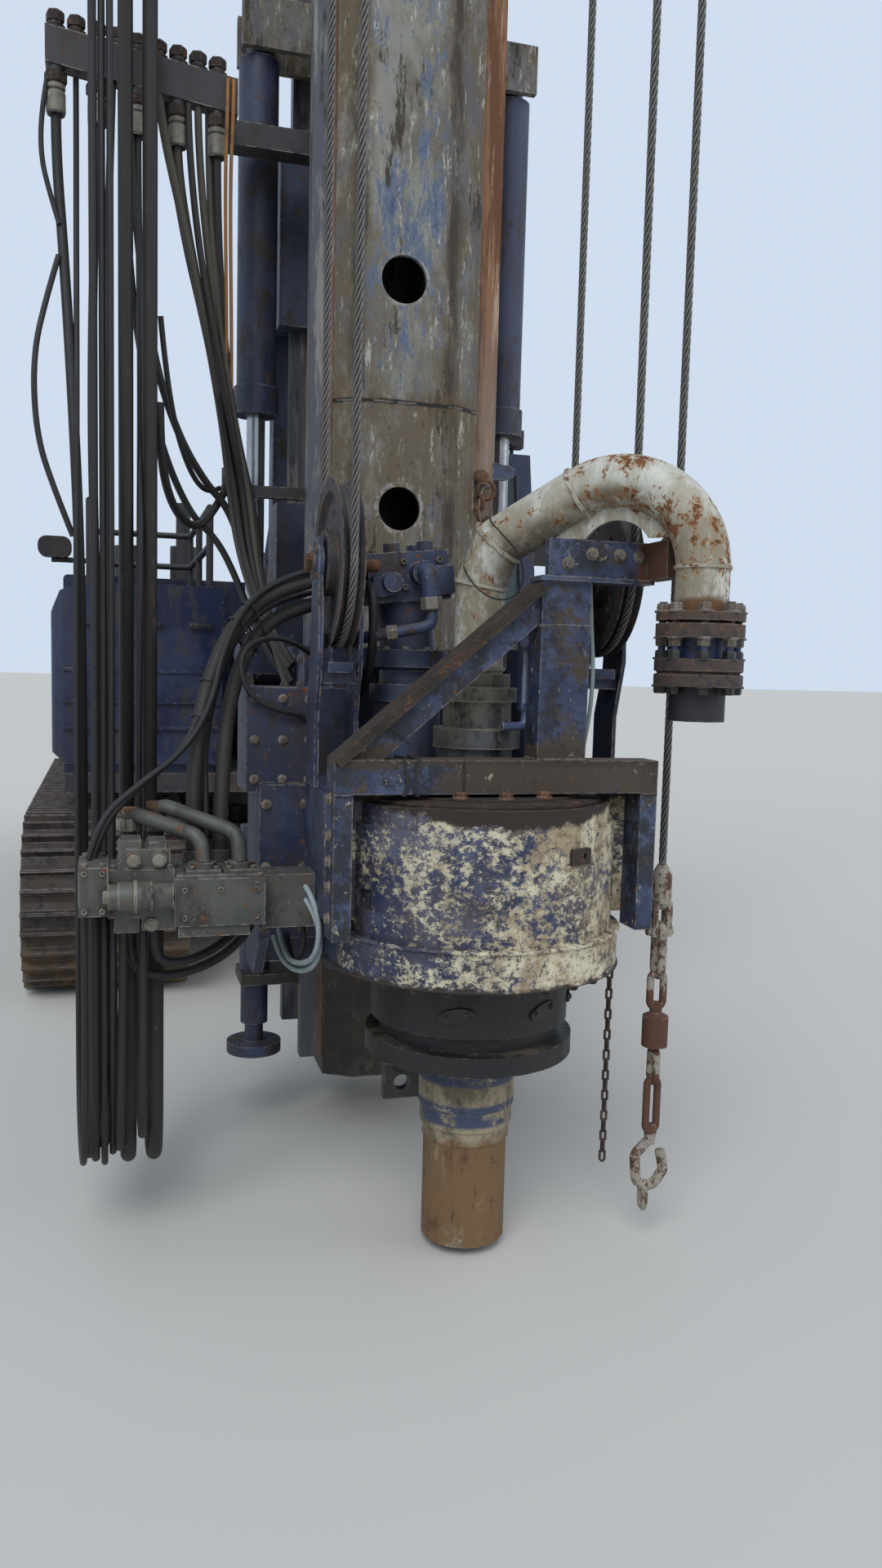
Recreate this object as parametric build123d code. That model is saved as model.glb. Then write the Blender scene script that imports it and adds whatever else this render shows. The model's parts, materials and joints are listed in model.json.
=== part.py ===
"""Rotary piling rig on crawler tracks, in millimetres.

The machine's front faces -Y, X runs across it and +Z is up. The origin lies on the
ground in the middle of the machine's length and width. The pile axis stands in front
of the mast, and places along the machine are given as distances behind that axis.
"""
import math
import os

from build123d import *

os.makedirs("parts", exist_ok=True)

# Driving dimensions
PILE_Y = -3710.0            # the pile axis
SLEW_BEHIND = 4700.0        # the slewing axis, behind the pile axis
RUN = 0.5                   # clearance of a sliding guide
SEAT = 0.3                  # clearance between pieces that are seated on each other
PIN_GAP = 0.4               # radial clearance of a pivot pin

# Undercarriage
TRACK_X = 1020.0            # centre of each track
SHOE_WIDTH = 800.0
TRACK_LENGTH = 4250.0       # over the grousers
TRACK_HEIGHT = 900.0
GROUSER = 38.0              # height of a grouser bar
SHOE_PLATE = 30.0
LINK_HEIGHT = 100.0
LINK_WIDTH = 48.0
LINK_OFFSET = 85.0          # from the track's centre to the middle of a link row
SHOE_COUNT = 48
END_SIDES = 12              # flats round each end of the track's inner loops
FRAME_HALF = 150.0          # half the width between the track frame's side plates
FRAME_PLATE = 25.0
SLEW_RADIUS = 590.0
SLEW_LOW = 800.0
SLEW_MID = 880.0
DECK_LOW = 1000.0

# Upperstructure
BODY_HALF = 1290.0
DECK_HALF = 1230.0
DECK_THICK = 100.0
BODY_FRONT = 3050.0         # behind the pile axis
HOUSE_FRONT = 4800.0
HOUSE_REAR = 6900.0
TAIL_DEPTH = 1054.0         # depth of the counterweight
TAIL_CORNER = 480.0         # radius of its rear corners
HOUSE_LOW = 1150.0
HOUSE_TOP = 2230.0
TANK_TOP = 2080.0
TANK_INNER = 430.0
CAB_INNER = 425.0
CAB_OUTER = 1290.0
CAB_FRONT = 2950.0
CAB_REAR = 4720.0
CAB_TOP = 2900.0
CAB_WALL = 50.0
DOOR_GAP = 6.0
DOOR_FRONT = CAB_FRONT + 170
DOOR_REAR = CAB_FRONT + 1000
DOOR_LOW = HOUSE_LOW + 180
SILL = 1950.0               # lower edge of the cab's side and rear windows
LINTEL = CAB_TOP - 160      # their upper edge, and the door's
SIDE_WINDOW = (CAB_FRONT + 310, CAB_REAR - 160)
QUARTER_WINDOW = (DOOR_REAR + 110, CAB_REAR - 160)
ROOF_WINDOW = (CAB_FRONT + 450, CAB_FRONT + 1150)
FRONT_WINDOWS = ((HOUSE_LOW + 180, SILL - 50), (SILL + 40, CAB_TOP - 120))
RAKE = 190.0                # how far the windscreen leans back over its height
SERVICE_FRONT = HOUSE_FRONT + 200
SERVICE_REAR = HOUSE_REAR - 550
SERVICE_LOW = DECK_LOW + 260
SERVICE_TOP = HOUSE_TOP - 150
SERVICE_THICK = 40.0
LOUVRE_FRONT = SERVICE_FRONT + 0.55 * (SERVICE_REAR - SERVICE_FRONT)

# Boom, bracket and their cylinders, places as (behind the pile axis, height)
BOOM_FOOT = (3900.0, 1700.0)
BOOM_HEAD = (1900.0, 2000.0)
BOOM_HALF = 200.0
PIN_RADIUS = 50.0
LIFT_FOOT = (3300.0, 1250.0)
LIFT_EYE = (2450.0, 1620.0)
LIFT_X = 120.0
TILT_FOOT = (3150.0, 2200.0)
TILT_EYE = (1740.0, 3350.0)
TILT_X = 150.0
HINGE_RADIUS = 12.0
EYE_HALF = 42.0
NECK_RADIUS = 38.0
LUG_CLEAR = 90.0              # from a pin to where a barrel swells past its lugs

# Mast
MAST_FRONT = 850.0          # its front face, behind the pile axis
MAST_FLAT_HALF = 160.0
MAST_HALF = 260.0
MAST_BEVEL = 60.0
MAST_DEPTH = 600.0
MAST_LOW = 200.0
MAST_JOINT = 2600.0
MAST_WALL = 18.0
MAST_TOP = 15000.0
RAIL_OUT = 340.0
RAIL_THICK = 60.0
FRONT_RAIL = 930.0          # front face of the front rails, behind the pile axis
REAR_RAIL = 1385.0

# Carriage and drive on the pile axis
DRUM_RADIUS = 385.0
COVER_RADIUS = 400.0
DRUM_LOW = 975.0
DRUM_TOP = 1330.0
RING_RADIUS = 420.0
RING_LOW = 865.0
BORE_RADIUS = 125.0
SPINDLE_RADIUS = 118.0
SPINDLE_BORE = 112.0
CHUCK_RADIUS = 285.0
CASING_RADIUS = 122.25
CASING_LOW = 30.0
BEAM_LOW = 1360.0
BEAM_SIZE = 90.0
BEAM_FRONT = -240.0         # front face of the beam, behind the pile axis
EAR_IN = 395.0
EAR_OUT = 455.0
SHEAVE_X = 395.0
SHEAVE_BEHIND = 70.0
SHEAVE_Z = 1970.0
SHEAVE_RADIUS = 235.0
PIPE_RADIUS = 69.85
OUTLET = (465.0, -420.0)    # the gooseneck's outlet, from the pile axis
CARRIAGE_BACK = 700.0
EAR_TOP = 1350.0
SHEAVE_PIN = 40.0
CLAMP_LOW = 1940.0          # the plate that holds the outlet pipe
CLAMP_TOP = 2040.0
CLAMP_LEAN = 24.0           # how far the pipe's bend leans back within the clamp
MOTOR_X = -155.0
HOSE_TOWER = (-335.0, -265.0, 560.0, 660.0)     # x and behind limits of the arc hoses' post
HOSE_TOWER_TOP = 2020.0

# Delivery pipe, in the upright plane through the pile axis and the outlet
SWIVEL_TOP = DRUM_TOP + 348
OUTLET_Z = 1850.0
OUTLET_REACH = math.hypot(*OUTLET)          # from the pile axis to the outlet's axis
GOOSE_BEND = 233.0          # radius of the big bend
GOOSE_MITRES = ((0.0, 1925.0), (50.0, 2041.0))
GOOSE_PEAK = 2350.0         # where the rise and the outlet's axis would meet
GUSSET_THICK = 14.0
GUSSET_WIDE = 74.0
STUDS = 8
STUD_CIRCLE = 96.0

# Valve block
BLOCK_TOP = 1115.0
VALVE_PIPE_RADIUS = 21.0
# steel pipes as (x, behind, height), from a hose's end to a flange on the block
VALVE_PIPES = (
    ((-955.0, 205.0, 1215.0), (-955.0, 205.0, 1265.0), (-765.0, 60.0, 1212.0), (-760.0, 50.0, 1145.0)),
    ((-880.0, 205.0, 1215.0), (-880.0, 205.0, 1290.0), (-665.0, 62.0, 1222.0), (-660.0, 50.0, 1145.0)),
)

# Head and winches
HEAD_RISE = 560.0           # of the sheaves' shafts over the mast's top
HEAD_Z = MAST_TOP + HEAD_RISE
HEAD_SHEAVE_RADIUS = 220.0
HEAD_SHAFT = 34.0
GROOVE = 22.0               # depth of a sheave's groove
ROPE_RADIUS = 9.0
ROPE_REACH = HEAD_SHEAVE_RADIUS - GROOVE + ROPE_RADIUS + SEAT   # from a head shaft to its rope
HOOK_X = 535.0
HOOK_TOP = 1140.0           # where the hook's socket takes the rope
HEAD_SHEAVE_P = 70.0
HOOK_P = HEAD_SHEAVE_P - ROPE_REACH
WINCH_P = MAST_FRONT + MAST_DEPTH + 330.0
WINCHES = (4600.0, 5500.0)
DRUM_CORE = 130.0
WINCH_ROPE_X = 90.0
WINCH_HALF = 222.0
WINCH_ROPE_P = WINCH_P - DRUM_CORE - ROPE_RADIUS - SEAT
REAR_SHEAVE_P = WINCH_ROPE_P - ROPE_REACH

# Mast bracket, lift cylinders, foot cylinders and the mast's round holes
BRACKET_OUT = 392.0
BRACKET_BACK = 1560.0
LIFT_BAR_X = 480.0
LIFT_BAR_P = 1280.0
JACK_X = 490.0
JACK_P = 1080.0
MAST_HOLES = (2240.0, 3010.0)
LUG_IN = BOOM_HALF + 6.0
LUG_THICK = 50.0
CHEEK_IN = BOOM_HALF + 12.0
CHEEK_THICK = 60.0

# Chain under the drum
CHAIN_X, CHAIN_P = 400.0, -100.0
CHAIN_TOP, CHAIN_END = 860.0, 245.0
CHAIN_LINKS = 20
CHAIN_BAR = 6.0
CHAIN_WIDE = 21.0

# Hose manifold, hook bar and saddle beside the mast
MANIFOLD_P = 860.0
MANIFOLD_Z = 3500.0
MANIFOLD_HALF = 30.0
MANIFOLD_DROP = 70.0        # how much its inner end is lower
MANIFOLD_SPAN = (-1190.0, -600.0)
ARM_P = 1070.0
ARM_DEEP = 90.0
HOOK_BAR_Z = 2280.0
SADDLE_Z = 7520.0

# Hoses as (radius, places), each place (x, behind, height), and the fittings at their ends
FITTING_WALL = 8.0
FITTING_LENGTH = {
    "thick_hose_outer": 85.0, "thick_hose_inner": 85.0, "thin_hose": 85.0, "arc_hose_outer": 42.0,
    "arc_hose_inner": 42.0,
}
HOSE_SHARE = 0.45           # of the shorter run that a bend may take
THICK_HOSE = 23.0
THIN_HOSE = 12.0
HOSE_TOP = SADDLE_Z - 80
HUNG_HOSES = ("thick_hose_outer", "thick_hose_inner", "thin_hose")
ARC_HOSES = ("arc_hose_outer", "arc_hose_inner")
HOSE_ROUTES = {
    "thick_hose_outer": (THICK_HOSE, (
        (-953.0, 700.0, HOSE_TOP), (-953.0, 700.0, 190.0), (-955.0, 205.0, 190.0), (-955.0, 205.0, 1215.0))),
    "thick_hose_inner": (THICK_HOSE, (
        (-880.0, 700.0, HOSE_TOP), (-880.0, 700.0, 190.0), (-880.0, 205.0, 190.0), (-880.0, 205.0, 1215.0))),
    "thin_hose": (THIN_HOSE, (
        (-1047.0, 470.0, HOSE_TOP), (-1047.0, 470.0, 240.0), (-1047.0, 80.0, 240.0), (-1047.0, 80.0, 1020.0))),
    "arc_hose_outer": (THICK_HOSE, (
        (-350.0, 590.0, 1965.0), (-500.0, 510.0, 1925.0), (-640.0, 420.0, 1815.0), (-735.0, 320.0, 1620.0),
        (-775.0, 235.0, 1400.0), (-775.0, 215.0, 1150.0))),
    "arc_hose_inner": (THICK_HOSE, (
        (-350.0, 625.0, 1890.0), (-490.0, 560.0, 1850.0), (-590.0, 480.0, 1750.0), (-655.0, 385.0, 1600.0),
        (-690.0, 265.0, 1400.0), (-700.0, 215.0, 1150.0))),
}


def behind(distance):
    """Y of a plane this far behind the pile axis."""
    return PILE_Y + distance


SLEW_Y = behind(SLEW_BEHIND)


def box(x0, x1, y0, y1, z0, z1):
    return Pos((x0 + x1) / 2, (y0 + y1) / 2, (z0 + z1) / 2) * Box(x1 - x0, y1 - y0, z1 - z0)


def pbox(x0, x1, p0, p1, z0, z1):
    """A box whose Y limits are distances behind the pile axis."""
    return box(x0, x1, behind(p0), behind(p1), z0, z1)


def post(x, y, radius, z0, z1):
    return Pos(x, y, (z0 + z1) / 2) * Cylinder(radius, z1 - z0)


def bar_x(x0, x1, y, z, radius):
    return Pos((x0 + x1) / 2, y, z) * Rot(0, 90, 0) * Cylinder(radius, x1 - x0)


def bar_y(x, y0, y1, z, radius):
    return Pos(x, (y0 + y1) / 2, z) * Rot(90, 0, 0) * Cylinder(radius, y1 - y0)


def plate_x(points, x0, x1):
    """A side outline of (distance behind the pile axis, height), as thick as x0 to x1."""
    outline = Polyline(*[(behind(p), z) for p, z in points], close=True)
    return extrude(Plane.YZ.offset(x0) * make_face(outline), amount=x1 - x0)


def plate_y(points, p0, p1):
    """A front outline of (x, z), as deep as p0 to p1 behind the pile axis."""
    outline = Polyline(*points, close=True)
    return extrude(Plane.XZ.offset(-behind(p1)) * make_face(outline), amount=p1 - p0)


def plate_z(points, z0, z1):
    """A plan outline of (x, distance behind the pile axis), from z0 up to z1."""
    outline = Polyline(*[(x, behind(p)) for x, p in points], close=True)
    return extrude(Plane.XY.offset(z0) * make_face(outline), amount=z1 - z0)


def both(maker):
    """The right piece and its mirror image on the left."""
    right = maker(1)
    return right + mirror(right, about=Plane.YZ)


def turned(profile, x, y):
    """A solid of revolution about an upright line, from (radius, height) points."""
    outline = Polyline(*profile, close=True)
    face = Plane.XZ * make_face(outline)
    return Pos(x, y, 0) * revolve(face, Axis.Z, 360)


def rod_between(x, start, end, radius, from_start=0.0, to_start=None):
    """A round bar at x between two (behind, height) places, from one distance along to another."""
    dy, dz = end[0] - start[0], end[1] - start[1]
    length = math.hypot(dy, dz)
    stop = length if to_start is None else to_start
    middle = (from_start + stop) / 2 / length
    centre = (x, behind(start[0] + dy * middle), start[1] + dz * middle)
    plane = Plane(origin=centre, z_dir=(0, dy / length, dz / length), x_dir=(1, 0, 0))
    return plane * Cylinder(radius, stop - from_start)


def hinge(x, y, z, turn):
    """Knuckles of a door hinge: the outer pair for the post, the middle one for the door.

    The leaves lie on the panel's face; turn points the door's leaf to +Y (1) or -Y (-1).
    """
    face = x - math.copysign(HINGE_RADIUS + 2, x)
    x0, x1 = sorted((face, face + math.copysign(6, x)))
    fixed = Part()
    for z0 in (z - 60, z + 20 + SEAT):
        fixed += post(x, y, HINGE_RADIUS, z0, z0 + 40 - SEAT)
        y0, y1 = sorted((y, y - turn * 60))
        fixed += box(x0, x1, y0, y1, z0, z0 + 40 - SEAT)
    y0, y1 = sorted((y, y + turn * 60))
    moving = post(x, y, HINGE_RADIUS, z - 20, z + 20) + box(x0, x1, y0, y1, z - 20, z + 20)
    return fixed, moving


def hinges(x, y, heights, turn):
    """All the fixed knuckles and all the moving ones of a door."""
    fixed, moving = Part(), Part()
    for z in heights:
        post_side, door_side = hinge(x, y, z, turn)
        fixed += post_side
        moving += door_side
    return fixed, moving


def save(name, shape):
    export_step(shape, f"parts/{name}.step")


# Tracks
def stadium(radius, half_straight, width):
    """Two half circles joined by straights; each half circle is END_SIDES flats that touch it from outside."""
    turn = math.pi / END_SIDES
    reach = radius / math.cos(turn / 2)
    points = []
    for side in (1, -1):
        for n in range(END_SIDES):
            angle = side * math.pi / 2 - (n + 0.5) * turn
            points.append((side * half_straight + reach * math.cos(angle), reach * math.sin(angle)))
    return extrude(Plane.YZ.offset(-width / 2) * make_face(Polyline(*points, close=True)), amount=width)


def track(centre_x):
    """One closed loop: shoe plates with their grouser bars, on two rows of links."""
    plate_radius = TRACK_HEIGHT / 2 - GROUSER
    half = (TRACK_LENGTH - TRACK_HEIGHT) / 2
    loop = 4 * half + 2 * math.pi * plate_radius
    pitch = loop / SHOE_COUNT
    # along the shoe as a share of the pitch, height over the plate
    shoe = [
        (0.00, -12.0), (0.20, 0.0), (0.23, GROUSER), (0.30, GROUSER), (0.33, 0.0),
        (0.67, 0.0), (0.70, GROUSER), (0.77, GROUSER), (0.80, 0.0),
    ]

    def place(along, height):
        along %= loop
        bend = math.pi * plate_radius
        reach = plate_radius + height
        if along < 2 * half:
            return (-half + along, reach)
        along -= 2 * half
        if along < bend:
            turn = math.pi / 2 - along / plate_radius
            return (half + reach * math.cos(turn), reach * math.sin(turn))
        along -= bend
        if along < 2 * half:
            return (half - along, -reach)
        along -= 2 * half
        turn = -math.pi / 2 - along / plate_radius
        return (-half + reach * math.cos(turn), reach * math.sin(turn))

    points = [place((n + share) * pitch, height) for n in range(SHOE_COUNT) for share, height in shoe]
    outer = extrude(Plane.YZ.offset(-SHOE_WIDTH / 2) * make_face(Polyline(*points, close=True)), amount=SHOE_WIDTH)
    plates = outer - stadium(plate_radius - SHOE_PLATE, half, SHOE_WIDTH + 2)
    band = stadium(plate_radius - SHOE_PLATE + 2, half, LINK_WIDTH)
    band -= stadium(plate_radius - SHOE_PLATE - LINK_HEIGHT, half, LINK_WIDTH + 2)
    links = Pos(LINK_OFFSET, 0, 0) * band + Pos(-LINK_OFFSET, 0, 0) * band
    return Pos(centre_x, SLEW_Y, TRACK_HEIGHT / 2) * (plates + links)


WHEEL_RADIUS = TRACK_HEIGHT / 2 - GROUSER - SHOE_PLATE - LINK_HEIGHT - SEAT
WHEEL_HALF_SPAN = (TRACK_LENGTH - TRACK_HEIGHT) / 2
ROLLER_RADIUS = 100.0
ROLLER_Z = TRACK_HEIGHT / 2 - WHEEL_RADIUS + ROLLER_RADIUS
ROLLER_COUNT = 9
ROLLER_PITCH = 300.0
AXLE_RADIUS = 40.0


def spool(x, y, z, radius, half, waist):
    """A track roller: two treads, a waist between them and an axle."""
    body = bar_x(x - half, x + half, y, z, radius)
    ring = bar_x(x - waist, x + waist, y, z, radius + 5) - bar_x(x - waist - 1, x + waist + 1, y, z, radius * 0.72)
    axle = bar_x(x - FRAME_HALF, x + FRAME_HALF, y, z, AXLE_RADIUS)
    return body - ring + axle


def sprocket(x, y, z):
    """The drive wheel: a toothed disc between the link rows on a round hub."""
    teeth = 15
    tip, root = WHEEL_RADIUS + 52, WHEEL_RADIUS - 6
    points = []
    for n in range(teeth):
        for share, reach in ((0.0, root), (0.34, root), (0.44, tip), (0.90, tip)):
            turn = 2 * math.pi * (n + share) / teeth
            points.append((reach * math.cos(turn), reach * math.sin(turn)))
    disc = extrude(Plane.YZ.offset(-25) * make_face(Polyline(*points, close=True)), amount=50)
    rim = bar_x(-LINK_OFFSET - 30, LINK_OFFSET + 30, 0, 0, WHEEL_RADIUS - 20)
    hub = bar_x(-FRAME_HALF, FRAME_HALF, 0, 0, 120)
    return Pos(x, y, z) * (disc + rim + hub)


def track_wheels():
    def side(sign):
        x = sign * TRACK_X
        front, rear = SLEW_Y - WHEEL_HALF_SPAN, SLEW_Y + WHEEL_HALF_SPAN
        idler = bar_x(x - 112, x + 112, front, TRACK_HEIGHT / 2, WHEEL_RADIUS)
        idler -= bar_x(x - 113, x - 58, front, TRACK_HEIGHT / 2, WHEEL_RADIUS - 40)
        idler -= bar_x(x + 58, x + 113, front, TRACK_HEIGHT / 2, WHEEL_RADIUS - 40)
        idler += bar_x(x - FRAME_HALF, x + FRAME_HALF, front, TRACK_HEIGHT / 2, 60)
        wheels = idler + sprocket(x, rear, TRACK_HEIGHT / 2)
        for n in range(ROLLER_COUNT):
            y = SLEW_Y + (n - (ROLLER_COUNT - 1) / 2) * ROLLER_PITCH
            wheels += spool(x, y, ROLLER_Z, ROLLER_RADIUS, 112, 58)
        for step in (-700.0, 700.0):
            top = TRACK_HEIGHT - ROLLER_Z
            wheels += spool(x, SLEW_Y + step, top, ROLLER_RADIUS - 20 - SEAT, 112, 58)
        return wheels
    return both(side)


def track_frames():
    """Box beams between the wheels, with plates that hold every axle."""
    low, mid, high = 215.0, 400.0, 640.0
    beam_top = 540.0
    span = WHEEL_HALF_SPAN

    def side(sign):
        x = sign * TRACK_X
        outline = [
            (SLEW_BEHIND - span - 110, 380), (SLEW_BEHIND - span + 250, 250), (SLEW_BEHIND - span + 360, low),
            (SLEW_BEHIND + span - 360, low), (SLEW_BEHIND + span - 250, 250), (SLEW_BEHIND + span + 140, 340),
            (SLEW_BEHIND + span + 140, 560), (SLEW_BEHIND + span - 300, high), (SLEW_BEHIND - span + 330, high),
            (SLEW_BEHIND - span - 110, 520),
        ]
        top = TRACK_HEIGHT - ROLLER_Z
        frame = plate_x(outline, x + FRAME_HALF + SEAT, x + FRAME_HALF + FRAME_PLATE)
        frame += plate_x(outline, x - FRAME_HALF - FRAME_PLATE, x - FRAME_HALF - SEAT)
        reach = FRAME_HALF + FRAME_PLATE
        frame += pbox(x - reach, x + reach, SLEW_BEHIND - span + 330, SLEW_BEHIND + span - 350, mid, beam_top)
        for step in (-700.0, 700.0):
            for s in (-1, 1):
                inner, outer = sorted((x + s * (FRAME_HALF + SEAT), x + s * (FRAME_HALF + FRAME_PLATE)))
                frame += pbox(inner, outer, SLEW_BEHIND + step - 70, SLEW_BEHIND + step + 70, high - 5, top + 55)
        return frame
    return both(side)


def car_body():
    """The cross-shaped frame between the tracks, with the lower slewing ring seat."""
    inner = TRACK_X - FRAME_HALF - FRAME_PLATE
    body = pbox(-600, 600, SLEW_BEHIND - 720, SLEW_BEHIND + 720, 380, 700)
    for step in (-620.0, 620.0):
        body += pbox(-inner, inner, SLEW_BEHIND + step - 210, SLEW_BEHIND + step + 210, 420, 620)
    body += post(0, SLEW_Y, SLEW_RADIUS - 60, 700, SLEW_LOW)
    for turn in range(8):
        rib = box(SLEW_RADIUS - 90, SLEW_RADIUS + 60, -20, 20, 0, 90)
        body += Pos(0, SLEW_Y, 700) * Rot(0, 0, 45 * turn + 22.5) * rib
    return body


def slew_ring():
    ring = post(0, SLEW_Y, SLEW_RADIUS, SLEW_LOW, SLEW_MID)
    return ring - post(0, SLEW_Y, SLEW_RADIUS - 200, SLEW_LOW - 1, SLEW_MID + 1)


# Upperstructure
def upper_frame():
    """The deck with the boom's cheeks, the feet of the lift cylinders and the upper slewing ring."""
    deck_top = DECK_LOW + DECK_THICK
    frame = pbox(-DECK_HALF, DECK_HALF, BODY_FRONT, HOUSE_REAR, DECK_LOW, deck_top)
    frame += post(0, SLEW_Y, SLEW_RADIUS - 20, SLEW_MID + SEAT, DECK_LOW + 10)
    frame -= post(0, SLEW_Y, SLEW_RADIUS - 200, SLEW_MID, DECK_LOW + 20)
    foot_p, foot_z = BOOM_FOOT
    cheek = [
        (BODY_FRONT + 60, deck_top - 5), (BODY_FRONT + 60, deck_top + 160), (foot_p - 190, foot_z + 60),
        (foot_p - 110, foot_z + 170), (foot_p + 110, foot_z + 170), (foot_p + 200, foot_z + 40),
        (HOUSE_FRONT - 40, deck_top + 220), (HOUSE_FRONT - 40, deck_top - 5),
    ]

    def side(sign):
        plate = plate_x(cheek, CHEEK_IN, CHEEK_IN + CHEEK_THICK)
        return plate - bar_x(CHEEK_IN - 1, CHEEK_IN + CHEEK_THICK + 1, behind(foot_p), foot_z, PIN_RADIUS + PIN_GAP)
    frame += both(side)
    y, z = behind(LIFT_FOOT[0]), LIFT_FOOT[1]
    for s in (-1, 1):
        for offset in (-EYE_HALF - 27, EYE_HALF + 2):
            x0 = s * LIFT_X + offset
            lug = pbox(x0, x0 + 25, LIFT_FOOT[0] - 75, LIFT_FOOT[0] + 75, deck_top - 5, z)
            lug += bar_x(x0, x0 + 25, y, z, 75)
            frame += lug - bar_x(x0 - 1, x0 + 26, y, z, 35 + PIN_GAP)
    return frame


def tank_house():
    """The side body over the right-hand track: rounded top, stepped lower edge and rounded corners."""
    outline = [
        (-TANK_INNER, HOUSE_LOW), (-BODY_HALF + 70, HOUSE_LOW), (-BODY_HALF, HOUSE_LOW + 60),
        (-BODY_HALF, TANK_TOP - 160), (-BODY_HALF + 45, TANK_TOP - 50), (-BODY_HALF + 150, TANK_TOP),
        (-TANK_INNER, TANK_TOP),
    ]
    house = plate_y(outline, BODY_FRONT, HOUSE_FRONT - 25)
    for edge in house.edges().filter_by(Axis.Z).group_by(Axis.Y)[0].sort_by(Axis.X)[:1]:
        house = fillet(edge, 60)
    # height of each step, how far it stands out, its depth downwards
    for z, out, deep in ((1640.0, 10.0, 14.0), (1480.0, 16.0, 14.0), (1345.0, 22.0, 14.0)):
        lip = pbox(-BODY_HALF + 60, -TANK_INNER, BODY_FRONT - out, BODY_FRONT, z - deep, z)
        house += lip
    foot = pbox(-DECK_HALF, -TANK_INNER - 40, BODY_FRONT + 40, HOUSE_FRONT - 60, DECK_LOW + DECK_THICK, HOUSE_LOW)
    return house + foot


def engine_house():
    """A shell over the engine with a door opening in each side and louvred rear quarters."""
    shell = pbox(-BODY_HALF, BODY_HALF, HOUSE_FRONT, HOUSE_REAR, DECK_LOW + DECK_THICK, HOUSE_TOP)
    wall = 40.0
    shell -= pbox(-BODY_HALF + wall, BODY_HALF - wall, HOUSE_FRONT + wall, HOUSE_REAR - wall,
                  DECK_LOW + DECK_THICK - 1, HOUSE_TOP - wall)
    for s in (-1, 1):
        x0, x1 = sorted((s * (BODY_HALF - wall - 1), s * (BODY_HALF + 1)))
        shell -= pbox(x0, x1, SERVICE_FRONT, SERVICE_REAR, SERVICE_LOW, SERVICE_TOP)
    top_edges = shell.edges().filter_by(Axis.Y).group_by(Axis.Z)[-1]
    shell = fillet(top_edges, 30)
    for s in (-1, 1):
        shell += service_hinges(s)[0]
    return shell


def service_hinges(sign):
    return hinges(sign * (BODY_HALF + HINGE_RADIUS + 2), behind(SERVICE_FRONT), (1400.0, 1900.0), 1)


def service_door(sign):
    gap = DOOR_GAP
    x0, x1 = sorted((sign * (BODY_HALF - SERVICE_THICK), sign * BODY_HALF))
    door = pbox(x0, x1, SERVICE_FRONT + gap, SERVICE_REAR - gap, SERVICE_LOW + gap, SERVICE_TOP - gap)
    rows = 9
    for n in range(rows):
        z = SERVICE_LOW + 140 + n * 62
        slot = pbox(x0 - 1, x1 + 1, LOUVRE_FRONT, SERVICE_REAR - 110, z, z + 24)
        door -= slot
    return door + service_hinges(sign)[1]


def engine_block():
    return pbox(-700, 700, HOUSE_FRONT + 320, HOUSE_REAR - 500, DECK_LOW + DECK_THICK, HOUSE_LOW + 700)


def counterweight():
    """A casting with rounded rear corners."""
    depth = TAIL_DEPTH - SEAT
    plan = Rectangle(2 * BODY_HALF, depth)
    face = Pos(0, behind(HOUSE_REAR + SEAT + depth / 2)) * plan
    block = extrude(Plane.XY.offset(DECK_LOW) * face, amount=HOUSE_TOP - DECK_LOW)
    rear = block.edges().filter_by(Axis.Z).group_by(Axis.Y)[-1]
    block = fillet(rear, TAIL_CORNER)
    rim = block.faces().sort_by(Axis.Z)[-1].edges().sort_by(Axis.Y)[1:]
    return fillet(rim, 40)


# Cab
def cab_outline(inset):
    """Side outline of the cab, drawn in from its outside by inset."""
    return [
        (CAB_FRONT + inset, HOUSE_LOW + inset), (CAB_FRONT + inset, SILL + 0.1 * inset),
        (CAB_FRONT + RAKE + inset, CAB_TOP - inset), (CAB_REAR - inset, CAB_TOP - inset),
        (CAB_REAR - inset, HOUSE_LOW + inset),
    ]


def cab_shell():
    """The cab's hollow body with its windows and doorway cut out."""
    shell = plate_x(cab_outline(0), CAB_INNER, CAB_OUTER)
    shell -= plate_x(cab_outline(CAB_WALL), CAB_INNER + CAB_WALL, CAB_OUTER - CAB_WALL)
    x0, x1 = CAB_INNER + 90, CAB_OUTER - 90
    for low, high in FRONT_WINDOWS:
        shell -= pbox(x0, x1, CAB_FRONT - 60, CAB_FRONT + 280, low, high)
    shell -= pbox(x0 + 60, x1 - 60, CAB_REAR - 60, CAB_REAR + 10, SILL, LINTEL)
    shell -= pbox(CAB_INNER - 1, CAB_INNER + 60, *SIDE_WINDOW, SILL, LINTEL)
    shell -= pbox(CAB_OUTER - 60, CAB_OUTER + 1, DOOR_FRONT, DOOR_REAR, DOOR_LOW, LINTEL)
    shell -= pbox(CAB_OUTER - 60, CAB_OUTER + 1, *QUARTER_WINDOW, SILL, LINTEL)
    shell -= pbox(x0 + 80, x1 - 80, *ROOF_WINDOW, CAB_TOP - 60, CAB_TOP + 10)
    feet = Part()
    for p in (CAB_FRONT + 200, CAB_REAR - 200):
        for x in (CAB_INNER + 120, CAB_OUTER - 150):
            feet += post(x, behind(p), 50, DECK_LOW + DECK_THICK, HOUSE_LOW)
    return shell + feet + cab_hinges()[0]


def cab_hinges():
    return hinges(CAB_OUTER + HINGE_RADIUS + 2, behind(DOOR_REAR), (1500.0, 2060.0, 2600.0), -1)


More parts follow.
